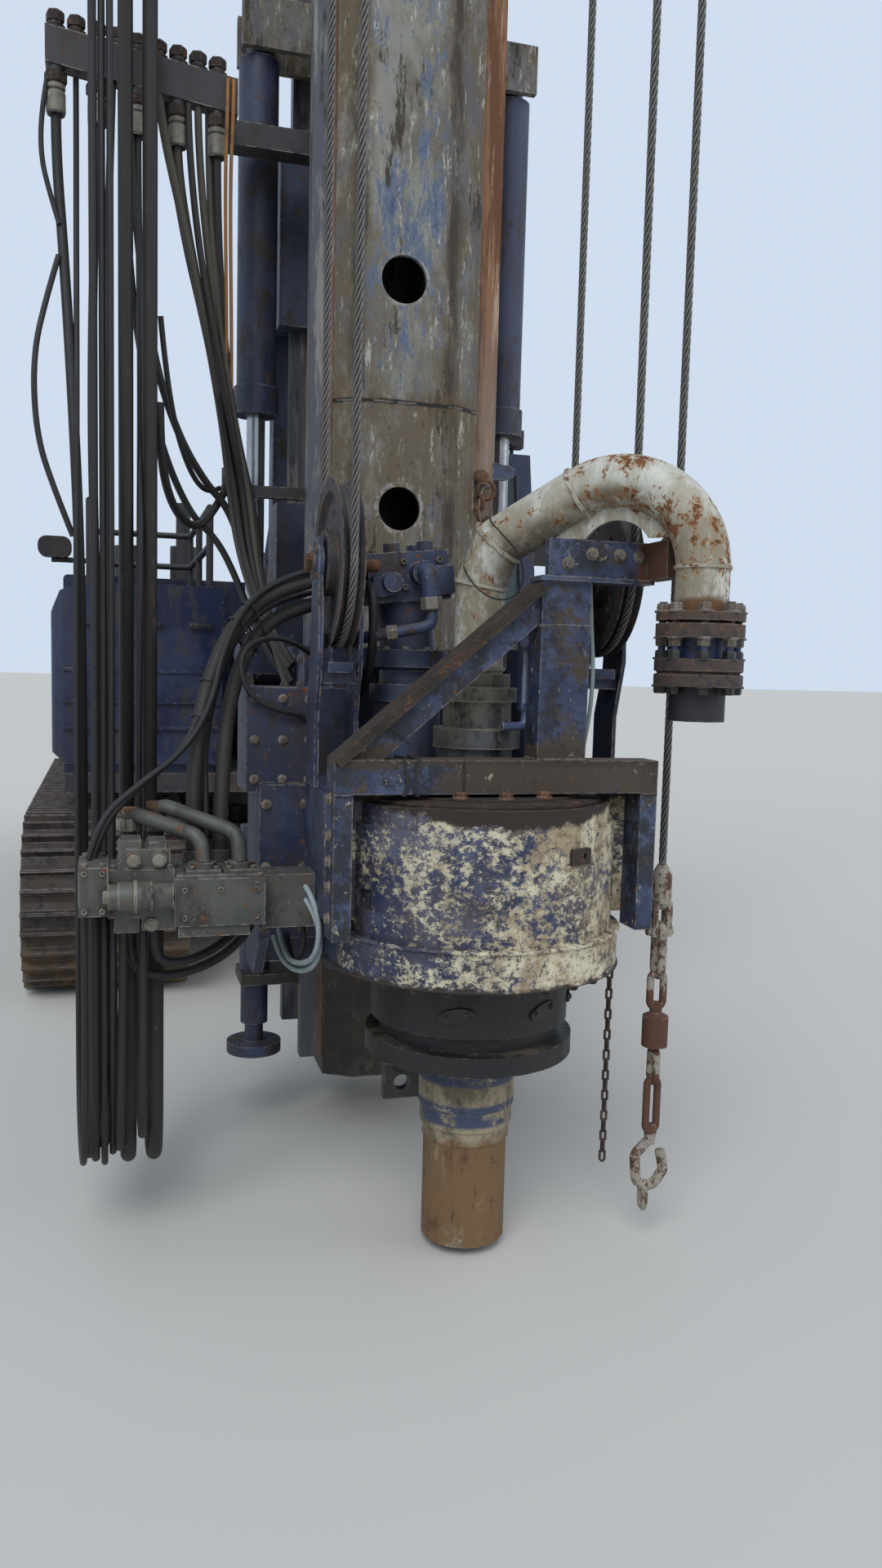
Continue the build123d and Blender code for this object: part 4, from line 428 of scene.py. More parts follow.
def mast_coat(coat):
    """Grimy beige over worn blue paint that shows in patches on the flat; brown bevels and dark runs."""
    coat.spread((104, 99, 89), 0.75, 0.42, 0.58, 3.4, 8, 0.74, tall=2)
    across = coat.math("ABSOLUTE", coat.add(coat.axis("X"), 0.02))
    wavy = coat.add(across, coat.sway(0.10, 5, 7, 0.75, tall=3, shift=5.0))
    aside = coat.step(wavy, 0.10, 0.15)
    lower = coat.below("Z", MAST_JOINT - 0.01, MAST_JOINT)
    brown = coat.either(aside, coat.times(lower, 0.85))
    coat.spread((98, 87, 70), 0.85, 0.36, 0.56, 7, 8, 0.78, tall=2, shift=2.0, where=brown)
    coat.spread((134, 127, 108), 0.8, 0.55, 0.64, 16, 8, 0.8, tall=3, shift=8.0)
    blue = coat.add(coat.noise(13, 10, 0.82, tall=3.2, shift=1.0), coat.sway(0.35, 2.4, 3, tall=3, shift=4.0))
    where = coat.inverse(coat.either(coat.times(aside, 0.75), coat.times(lower, 0.65)))
    coat.lay(coat.both(where, coat.step(blue, 0.500, 0.525)), (84, 98, 122), 0.5)
    coat.lay(coat.both(where, coat.step(blue, 0.575, 0.60)), (58, 72, 102), 0.5)
    coat.spread((168, 166, 156), 0.5, 0.565, 0.61, 34, 9, 0.82, tall=5, shift=5.0)
    corner = coat.band(wavy, 0.135, 0.155, 0.17, 0.215)
    coat.spread((54, 47, 41), 0.75, 0.40, 0.56, 6, 7, 0.75, tall=6, shift=9.0, where=corner)
    coat.spread((56, 48, 41), 0.75, 0.55, 0.60, 10, 9, 0.82, tall=5, shift=18.0)
    coat.spread((46, 41, 38), 0.75, 0.595, 0.63, 46, 9, 0.84, tall=2, shift=28.0)
    height = coat.add(coat.axis("Z"), coat.sway(0.03, 8, 6, 0.7, shift=21.0))
    halo = coat.band(height, MAST_JOINT - 0.06, MAST_JOINT, MAST_JOINT, MAST_JOINT + 0.06)
    coat.spread((96, 78, 58), 0.85, 0.38, 0.60, 22, 6, 0.7, where=halo)
    seam = coat.band(height, MAST_JOINT - 0.012, MAST_JOINT - 0.005, MAST_JOINT + 0.003, MAST_JOINT + 0.010)
    coat.lay(seam, (28, 25, 23), 0.8)
    for z in MAST_HOLES:
        rise = coat.add(coat.axis("Z"), -z)
        side = coat.add(coat.axis("X"), 0.03)
        radius = coat.math("SQRT", coat.add(coat.times(rise, rise), coat.times(side, side)))
        rim = coat.fall(radius, 0.083, 0.096)
        coat.spread((150, 150, 146), 0.5, 0.48, 0.56, 24, 7, 0.75, shift=z, where=rim)
    coat.spread((60, 52, 42), 0.6, 0.22, 0.50, 4, 7, 0.7, where=coat.below("Z", 0.7, 2.0))
    coat.spread((34, 30, 27), 0.5, 0.35, 0.62, 9, 7, 0.75, shift=3.0, where=coat.below("Z", 0.3, 1.2))
    coat.spread((140, 134, 124), 0.5, 0.44, 0.56, 18, 6, where=coat.edges(0.008))
    coat.bump(coat.noise(16, 8, 0.8), 0.5, 0.008).bump(coat.noise(60, 6, tall=3), 0.3, 0.003)


def rail_coat(coat):
    """Guide bars: orange-brown rust in long streaks on the right, worn navy on the left."""
    coat.spread((98, 64, 44), 0.85, 0.46, 0.56, 20, 9, 0.8, tall=14)
    coat.spread((168, 148, 130), 0.5, 0.54, 0.62, 38, 8, 0.8, tall=18, shift=3.0)
    low = coat.below("Z", 2.4, 3.1)
    coat.spread((124, 112, 102), 0.7, 0.34, 0.56, 8, 7, 0.75, tall=6, shift=5.0, where=low)
    left = coat.below("X", -0.30, -0.26)
    coat.lay(left, (74, 77, 86), 0.5)
    coat.spread((126, 124, 122), 0.5, 0.50, 0.60, 14, 8, 0.78, tall=10, shift=6.0, where=left)
    coat.spread((44, 42, 44), 0.7, 0.54, 0.62, 18, 8, 0.78, tall=7, shift=9.0, where=left)
    coat.bump(coat.noise(50, 5, tall=5), 0.35, 0.003)


def pipe_coat(coat):
    """Off-white paint, grimy on its rise, with painted shade on its underside and rust specks in drifts on
    its crest and down leg.
    """
    coat.spread((164, 161, 148), 0.65, 0.44, 0.60, 6, 8, 0.75, tall=2)
    rise = coat.below("Z", 2.02, 2.24)
    coat.spread((138, 130, 112), 0.8, 0.42, 0.58, 8, 8, 0.78, tall=2, shift=2.0, where=rise)
    # Painted shade: the faces that look down are darker
    under = coat.inverse(coat.upward(-0.55, 0.05))
    coat.spread((112, 102, 86), 0.8, 0.38, 0.58, 9, 7, 0.75, shift=5.0, where=under)
    leg = coat.both(coat.below("Y", PILE_Y - 0.27, PILE_Y - 0.22), coat.below("Z", 2.10, 2.20))
    crest = coat.above("Z", 2.17, 2.25)
    drift = coat.add(coat.times(coat.either(leg, crest), 0.055), coat.sway(0.30, 5, 3, shift=3.0))
    value = coat.add(coat.noise(30, 9, 0.80, tall=1.3, warp=0.3), drift)
    coat.lay(coat.step(value, 0.575, 0.60), (160, 126, 86), 0.85)
    spots = coat.step(value, 0.605, 0.62)
    coat.lay(spots, (112, 70, 42), 0.9)
    coat.spread((78, 46, 30), 0.9, 0.48, 0.62, 60, 6, 0.75, where=spots)
    foot = coat.add(coat.axis("Z"), coat.times(coat.noise(12, 6, shift=8.0), 0.06))
    coat.lay(coat.both(leg, coat.fall(foot, 1.90, 1.92)), (106, 76, 52), 0.9)
    coat.spread((84, 76, 64), 0.8, 0.61, 0.67, 34, 8, 0.8, tall=4, shift=8.0)
    coat.bump(spots, 0.4, 0.002).bump(coat.noise(80, 4), 0.15, 0.001)


def stack_coat(coat):
    """Rust-brown upper flanges over a blue spool, darker flanges below and a black stub."""
    coat.spread((36, 40, 56), 0.6, 0.50, 0.62, 20, 7, 0.75)
    upper = coat.above("Z", OUTLET_Z - 0.068, OUTLET_Z - 0.064)
    coat.lay(upper, (74, 60, 52), 0.8)
    coat.spread((46, 42, 44), 0.75, 0.48, 0.60, 30, 7, 0.78, where=upper)
    coat.spread((120, 84, 58), 0.85, 0.54, 0.62, 18, 7, 0.78, shift=3.0, where=upper)
    lower = coat.below("Z", OUTLET_Z - 0.121, OUTLET_Z - 0.119)
    coat.lay(lower, (62, 50, 44), 0.65)
    coat.spread((34, 34, 42), 0.7, 0.52, 0.60, 26, 7, 0.78, shift=6.0, where=lower)
    coat.spread((112, 78, 54), 0.8, 0.58, 0.64, 34, 7, 0.78, shift=8.0, where=lower)
    coat.lay(coat.below("Z", OUTLET_Z - 0.192, OUTLET_Z - 0.190), (28, 28, 32), 0.6)
    coat.spread((130, 118, 104), 0.5, 0.42, 0.55, 40, 4, where=coat.edges(0.005))
    coat.bump(coat.noise(60, 6), 0.3, 0.002)


def casing_coat(coat):
    """Steel casing: tan mud and two navy bands on the sleeve, ochre rust on the tube."""
    coat.spread((104, 95, 80), 0.85, 0.44, 0.58, 9, 8, 0.78, tall=1.4)
    tube = coat.fall(coat.add(coat.axis("Z"), coat.times(coat.noise(9, 6, shift=5.0), 0.08)), 0.37, 0.40)
    coat.spread((112, 88, 60), 0.9, 0.34, 0.52, 7, 8, 0.78, tall=2, shift=2.0, where=tube)
    coat.spread((90, 64, 46), 0.9, 0.52, 0.62, 16, 8, 0.8, tall=2, shift=6.0, where=tube)
    ragged = coat.patches(0.44, 0.50, 12, 9, 0.8, wide=2, shift=7.0)
    for low, high in ((0.385, 0.450), (0.505, 0.535)):
        band = coat.band(coat.axis("Z"), low, low + 0.012, high, high + 0.012)
        coat.lay(coat.both(band, ragged), (56, 66, 92), 0.6)
    coat.spread((62, 52, 42), 0.85, 0.58, 0.66, 26, 8, 0.8, tall=2, shift=4.0)
    coat.spread((146, 134, 108), 0.7, 0.42, 0.58, 30, 3, where=coat.edges(0.005))
    coat.bump(coat.noise(70, 6), 0.4, 0.003).bump(coat.noise(14, 7, 0.75), 0.3, 0.006)


def beam_coat(coat):
    """Support frame: blue with cream chips, brown grime over it towards the right and above."""
    coat.spread((66, 76, 104), 0.6, 0.46, 0.58, 5, 8, 0.74)
    coat.spread((30, 33, 44), 0.6, 0.46, 0.55, 9, 9, 0.8, shift=9.0)
    level = coat.band(coat.axis("Z"), 1.355, 1.365, 1.47, 1.50)
    right = coat.both(coat.above("X", -0.30, 0.06), level)
    dirt = coat.add(coat.noise(7, 9, 0.78), coat.times(right, 0.20))
    coat.lay(coat.step(dirt, 0.535, 0.60), (70, 61, 53), 0.85)
    height = coat.add(coat.axis("Z"), coat.times(coat.noise(10, 7, shift=4.0), 0.06))
    coat.lay(coat.both(level, coat.step(height, 1.455, 1.475)), (62, 53, 46), 0.9)
    coat.spread((52, 44, 38), 0.8, 0.56, 0.64, 22, 9, 0.82, tall=2, shift=3.0)
    spots = coat.patches(0.605, 0.62, 30, 10, 0.82, warp=0.4, shift=6.0)
    coat.lay(spots, (170, 162, 142), 0.7)
    coat.spread((112, 72, 46), 0.9, 0.615, 0.64, 18, 9, 0.82, warp=0.4, shift=16.0)
    coat.lay(coat.both(coat.above("X", 0.36, 0.375), coat.above("Z", 1.93, 1.935)), (84, 54, 40), 0.85)
    coat.spread((84, 72, 60), 0.9, 0.28, 0.55, 9, 6, shift=2.0, where=coat.upward())
    coat.spread((124, 120, 112), 0.5, 0.42, 0.54, 40, 5, where=coat.edges(0.007))
    coat.bump(coat.noise(60, 6), 0.25, 0.003).bump(spots, 0.3, 0.001)


def hook_coat(coat):
    """The hook line: pale worn socket and shackles, a rust-brown swivel, rusted links and a pale hook."""
    height = coat.axis("Z")
    swivel, links = coat.band(height, 0.575, 0.60, 0.72, 0.80), coat.band(height, 0.33, 0.35, 0.49, 0.53)
    value = coat.add(coat.noise(34, 8, 0.78, tall=1.5), coat.times(coat.either(swivel, links), 0.22))
    coat.lay(coat.step(value, 0.505, 0.55), (84, 56, 42), 0.85)
    coat.spread((64, 46, 38), 0.85, 0.54, 0.62, 50, 7, 0.78, shift=3.0)
    coat.spread((170, 164, 154), 0.5, 0.42, 0.55, 40, 4, where=coat.edges(0.004))
    coat.bump(coat.noise(90, 5), 0.4, 0.002)


def glass_coat(coat):
    """Tinted safety glass with a thin film of dust."""
    coat.spread((140, 146, 146), 0.25, 0.45, 0.80, 8, 5)
    coat.shader.inputs["Transmission Weight"].default_value = 0.85
    coat.shader.inputs["IOR"].default_value = 1.45


def track_coat(coat):
    """Shoes: dark worn steel with dried mud, worn bare along the grousers and with a painted highlight there.
    """
    coat.spread((72, 60, 54), 0.8, 0.44, 0.60, 6, 7, 0.75)
    coat.spread((34, 30, 30), 0.7, 0.50, 0.62, 18, 7, 0.78, shift=3.0)
    # Pale edges: worn bare steel and a painted highlight
    coat.spread((138, 130, 128), 0.4, 0.38, 0.54, 24, 5, where=coat.edges(0.010))
    low = coat.below("Z", 0.12, 0.45)
    coat.spread((98, 82, 62), 0.95, 0.38, 0.54, 8, 7, 0.75, shift=7.0, where=low)
    coat.bump(coat.noise(40, 7), 0.45, 0.004)


FINISHES = {}


def finish(name, layers, colour, rough, *colours, **options):
    """Makes a finish; further colours are a paint's worn and grimy ones or a steel's dark and pale ones."""
    coat = Finish(name, colour, rough)
    layers(coat, *colours, **options)
    FINISHES[name] = coat.done()


# Finishes of the record's slots
finish("navy_paint", painted, NAVY, 0.45, NAVY_FADED, rust=0.5)
finish("frame_paint", painted, (42, 44, 52), 0.45, (56, 56, 60), (70, 60, 50), rust=0.5, streaks=0.8)
finish("black_paint", painted, (24, 24, 27), 0.45, (42, 42, 46), chips=0.1)
finish("track_steel", track_coat, (52, 46, 46), 0.55)
finish("roller_steel", rusty, (54, 49, 45), 0.85, (32, 28, 26), (96, 88, 80), grain=20)
finish("machined_steel", rusty, (92, 90, 88), 0.5, (56, 50, 46), (140, 138, 136), grain=25)
finish("engine_iron", rusty, (60, 60, 60), 0.85, (36, 34, 33), (84, 84, 84), grain=25, flake=(70, 64, 58))
finish("rod_chrome", rusty, (170, 172, 176), 0.25, (140, 140, 142), (200, 202, 206), grain=12, metallic=1.0,
       flake=(120, 116, 110))
finish("worn_rail", rail_coat, (134, 96, 68), 0.75)
finish("grey_steel", painted, (40, 40, 44), 0.5, (62, 60, 60), rust=0.4, chips=0.45)
finish("wire_rope", rope_with_painted_shade, (58, 56, 56), 0.5)
finish("sheave_steel", painted, (34, 35, 42), 0.45, (54, 53, 56), (56, 47, 41), rust=0.7, chips=0.6,
       chip=(136, 112, 92))
finish("rusty_steel", rusty, (104, 72, 50), 0.85, (60, 42, 32), (150, 132, 114), grain=50)
finish("beam_paint", beam_coat, (46, 56, 84), 0.5)
finish("blue_flange", stack_coat, (40, 52, 88), 0.5)
finish("valve_paint", painted, (80, 82, 78), 0.45, (62, 63, 62), (48, 44, 40), rust=0.6, chips=0.6,
       chip=(156, 154, 142))
finish("casing_steel", casing_coat, (150, 140, 118), 0.8)
finish("cab_plastic", rubber, (34, 34, 36), 0.7, (54, 54, 56))
finish("hose_rubber", rubber, (33, 30, 29), 0.6, (46, 42, 40))
finish("mast_paint", mast_coat, (132, 132, 126), 0.6)
finish("cover_paint", peeling, (36, 45, 76), 0.45, gain=0.07)
finish("pipe_paint", pipe_coat, (194, 196, 190), 0.45)
finish("window_glass", glass_coat, (120, 134, 138), 0.06)

# Further finishes, for single nodes and for what is added here
finish("body_navy", painted, (30, 37, 66), 0.3, (44, 52, 82), (52, 48, 46), rust=0.05, chips=0.2, streaks=0.3)
finish("drum_paint", peeling, (36, 44, 70), 0.45, gain=0.085)
finish("hook_steel", hook_coat, (146, 140, 130), 0.7)
finish("chuck_black", painted, (20, 20, 23), 0.45, (32, 31, 33), (34, 29, 27), rust=0.2, chips=0.25,
       chip=(104, 100, 94))
finish("swivel_grey", painted, (74, 77, 84), 0.45, (112, 108, 98), (38, 34, 32), rust=0.4, chips=1.0,
       chip=(168, 160, 138))
finish("blue_pipe", painted, (58, 76, 118), 0.45, (50, 60, 88), rust=0.3, chips=0.8, chip=(170, 170, 172))
finish("dark_iron", rusty, (54, 44, 37), 0.85, (34, 29, 26), (92, 80, 68), grain=40)
finish("bolt_steel", rusty, (104, 98, 90), 0.6, (66, 56, 48), (158, 152, 142), grain=80)
finish("black_bolt", rusty, (34, 33, 35), 0.5, (24, 23, 24), (78, 76, 76), grain=80, flake=(58, 46, 38))
finish("collar_steel", rusty, (122, 118, 108), 0.5, (92, 86, 76), (164, 160, 150), grain=60,
       flake=(112, 98, 82))
finish("weld", painted, (186, 182, 168), 0.45, (150, 144, 128), (110, 92, 70), rust=1.0, chips=0.4)
finish("cable_orange", rubber, (150, 102, 50), 0.55, (124, 88, 50), (88, 68, 48))
finish("flex_pale", rubber, (150, 164, 168), 0.5, (126, 138, 142), (96, 96, 92))
finish("hose_dark", rubber, (26, 24, 26), 0.55, (36, 33, 33), (58, 53, 48))
finish("hose_grey", rubber, (60, 56, 50), 0.65, (76, 71, 62), (98, 90, 78))
finish("tie_black", rubber, (26, 26, 27), 0.5, (40, 40, 41), (52, 50, 46))

BODY_NODES = ("tank_house", "engine_house", "counterweight", "cab_shell", "cab_door", "service_door_left",
              "service_door_right")
OWN_FINISH = {"drive_housing": "drum_paint", "hook": "hook_steel", "swivel": "swivel_grey",
              "chuck": "chuck_black", **dict.fromkeys(BODY_NODES, "body_navy")}


def dress_cad():
    """Gives each CAD node the finish of its slot, or one of its own."""
    for part in frame["record"]["subparts"]:
        for held in frame["nodes"][part["node"]].material_slots:
            held.material = FINISHES[OWN_FINISH.get(part["node"], part["material_slot"])]


# Curves and meshes
def smooth_line(name, points, steps=10):
    """The NURBS curve through a route's control points, and the points along it as Blender gives them."""
    data = bpy.data.curves.new(name, "CURVE")
    data.dimensions = "3D"
    data.resolution_u = steps
    spline = data.splines.new("NURBS")
    spline.points.add(len(points) - 1)
    for knot, point in zip(spline.points, points):
        knot.co = (*point, 1.0)
    spline.order_u = 3
    spline.use_endpoint_u = True
    curve = bpy.data.objects.new(name, data)
    bpy.context.collection.objects.link(curve)
    bpy.context.view_layer.update()
    mesh = bpy.data.meshes.new_from_object(curve.evaluated_get(bpy.context.evaluated_depsgraph_get()))
    line = [vertex.co.copy() for vertex in mesh.vertices]
    bpy.data.meshes.remove(mesh)
    return curve, line


def length_of(line):
    return sum((b - a).length for a, b in zip(line, line[1:]))


def frames_along(line):
    """A side and an up vector at each point of a line, turned as little as possible from one to the next."""
    last = len(line) - 1
    ahead = [(line[min(n + 1, last)] - line[max(n - 1, 0)]).normalized() for n in range(last + 1)]
    side = ahead[0].orthogonal().normalized()
    frames = []
    for direction in ahead:
        side = (side - direction * side.dot(direction)).normalized()
        frames.append((side, direction.cross(side)))
    return frames


def turns(count, first=0.0):
    """The angles of even steps round a circle; first is a share of one step."""
    return [2 * math.pi * (n + first) / count for n in range(count)]


def circle(centre, u, v, radius, sides):
    """Points round a centre, in the plane of two directions."""
    return [centre + (u * math.cos(t) + v * math.sin(t)) * radius for t in turns(sides)]


def plane_of(axis):
    """The unit axis and two directions square to it."""
    axis = Vector(axis).normalized()
    side = axis.orthogonal().normalized()
    return axis, side, axis.cross(side)


def ring_of(x, p, z, radius, count, first=0.0):
    """Places on a level circle about (x, p) at the height z."""
    return [at(x + radius * math.cos(t), p + radius * math.sin(t), z) for t in turns(count, first)]


def outline(corners, steps):
    """Points along a closed outline, as many on each of its sides."""
    return [a.lerp(b, n / steps) for a, b in zip(corners, corners[1:] + corners[:1]) for n in range(steps)]


def facing(turn, radius, z):
    """A place at a distance from the pile axis, and the directions outward and sideways there."""
    out = Vector((math.cos(turn), math.sin(turn), 0))
    return at(0, 0, z) + out * radius, out, Vector((-math.sin(turn), math.cos(turn), 0))


def nut(inner, outer, low, high, top):
    """The profile of a nut or collar: radius inner at both ends, outer from low to high."""
    return (inner, 0), (outer, low), (outer, high), (inner, top)


class Piece:
    """A mesh of several forms that share a finish and move with one body."""

    def __init__(self, name, body, slot, finish=None):
        self.name, self.body, self.slot = name, body, slot
        self.finish = FINISHES[finish or slot]
        self.points, self.faces = [], []

    def loft(self, rings, closed=False):
        """Joins rings of as many points each and caps the ends; closed joins the last ring to the first."""
        base, sides, count = len(self.points), len(rings[0]), len(rings)
        for ring in rings:
            self.points.extend(ring)
        for n in range(count if closed else count - 1):
            low, high = base + n * sides, base + (n + 1) % count * sides
            for k in range(sides):
                m = (k + 1) % sides
                self.faces.append((low + k, low + m, high + m, high + k))
        if not closed:
            self.faces.append(tuple(base + k for k in reversed(range(sides))))
            self.faces.append(tuple(base + (count - 1) * sides + k for k in range(sides)))
        return self

    def turned(self, profile, place, axis=UP, sides=20):
        """A form turned about an axis from place; the profile is (radius, distance along the axis)."""
        axis, side, other = plane_of(axis)
        return self.loft([circle(Vector(place) + axis * along, side, other, radius, sides)
                          for radius, along in profile])

    def bolt(self, place, axis, across, height=None, washer=True):
        """A hexagon head with a chamfer, on a washer, facing along the axis."""
        radius = across * 0.577
        height = height or across * 0.62
        base = Vector(place) - Vector(axis).normalized() * 0.002
        if washer:
            self.turned([(radius * 1.3, 0), (radius * 1.3, 0.0045), (radius * 1.2, 0.0055)], base, axis, 14)
        head = [(radius, 0.004), (radius, height * 0.8), (radius * 0.84, height), (radius * 0.5, height)]
        self.turned(head, base, axis, 6)

    def cap_screw(self, place, axis, radius):
        """A round screw head with a hexagon socket."""
        base = Vector(place) - Vector(axis).normalized() * 0.001
        shares = ((1, 0), (1, 1.1), (0.88, 1.3), (0.55, 1.3), (0.55, 0.6), (0.1, 0.6))
        self.turned([(radius * share, radius * along) for share, along in shares], base, axis, 12)

    def tube(self, line, radius, sides=10):
        """A round bar along a line."""
        return self.loft([circle(p, u, v, radius, sides) for p, (u, v) in zip(line, frames_along(line))])

    def bent(self, points, radius, sides=10):
        """A round bar along the smooth curve of its control points."""
        curve, line = smooth_line(self.name + "_line", points, 8)
        bpy.data.objects.remove(curve)
        return self.tube(line, radius, sides)

    def rope(self, line, radius, lay):
        """Six strands laid round each other along a line; lay is the length of one whole turn."""
        lobes, corners, valley = 6, 18, 0.72
        rings, travelled = [], 0.0
        for n, (p, (u, v)) in enumerate(zip(line, frames_along(line))):
            if n:
                travelled += (p - line[n - 1]).length
            twist = 2 * math.pi * travelled / lay
            ring = []
            for k, t in enumerate(turns(corners)):
                reach = radius * (1.0 if k % (corners // lobes) else valley)
                ring.append(p + (u * math.cos(t + twist) + v * math.sin(t + twist)) * reach)
            rings.append(ring)
        return self.loft(rings)

    def ring(self, centre, axis, radius, thick, sides=28):
        """A round bar bent into a ring."""
        axis, side, other = plane_of(axis)
        line = circle(Vector(centre), side, other, radius, sides)
        outs = [side * math.cos(t) + other * math.sin(t) for t in turns(sides)]
        return self.loft([circle(p, out, axis, thick, 8) for p, out in zip(line, outs)], closed=True)

    def slab(self, low, high, edge=0.003, turn=None):
        """A block with rounded edges between two corners; turn is a matrix about its middle."""
        form = bmesh.new()
        size = Vector(high) - Vector(low)
        bmesh.ops.create_cube(form, size=1.0)
        bmesh.ops.scale(form, vec=size, verts=form.verts)
        bmesh.ops.bevel(form, geom=form.edges[:], offset=min(edge, min(size) * 0.4), segments=2, profile=0.6,
                        affect="EDGES")
        middle = (Vector(high) + Vector(low)) / 2
        matrix = Matrix.Translation(middle) @ (turn.to_4x4() if turn else Matrix())
        base = len(self.points)
        form.verts.index_update()
        self.points.extend(matrix @ vertex.co for vertex in form.verts)
        self.faces.extend(tuple(base + v.index for v in face.verts) for face in form.faces)
        form.free()

    def done(self, smooth=40, replaces=()):
        """Makes the object; edges flatter than smooth, in degrees, are shaded smooth."""
        mesh = bpy.data.meshes.new(self.name)
        mesh.from_pydata(self.points, [], self.faces)
        form = bmesh.new()
        form.from_mesh(mesh)
        bmesh.ops.recalc_face_normals(form, faces=form.faces)
        for edge in form.edges:
            edge.smooth = len(edge.link_faces) == 2 and edge.calc_face_angle(0.0) < math.radians(smooth)
        for face in form.faces:
            face.smooth = True
        form.to_mesh(mesh)
        form.free()
        piece = bpy.data.objects.new(self.name, mesh)
        mesh.materials.append(self.finish)
        bpy.context.collection.objects.link(piece)
        if self.body:
            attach(piece, self.body)
        if replaces:
            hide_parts(*replaces)
        return piece


# Hoses and cables, each as (body, radius in mm, finish, stiffness, control points as (x, p, z) in mm)
# A hose of body "both" hangs on the mast at its first end and on the carriage at its last
def u_hose(x, p, foot, end):
    """A hose that hangs from the saddle, turns under the valve block and goes up into it."""
    return ((x, p, 7495), (x, p, foot + 385), (x, p, foot), (x, end, foot), (x, end, 1015))


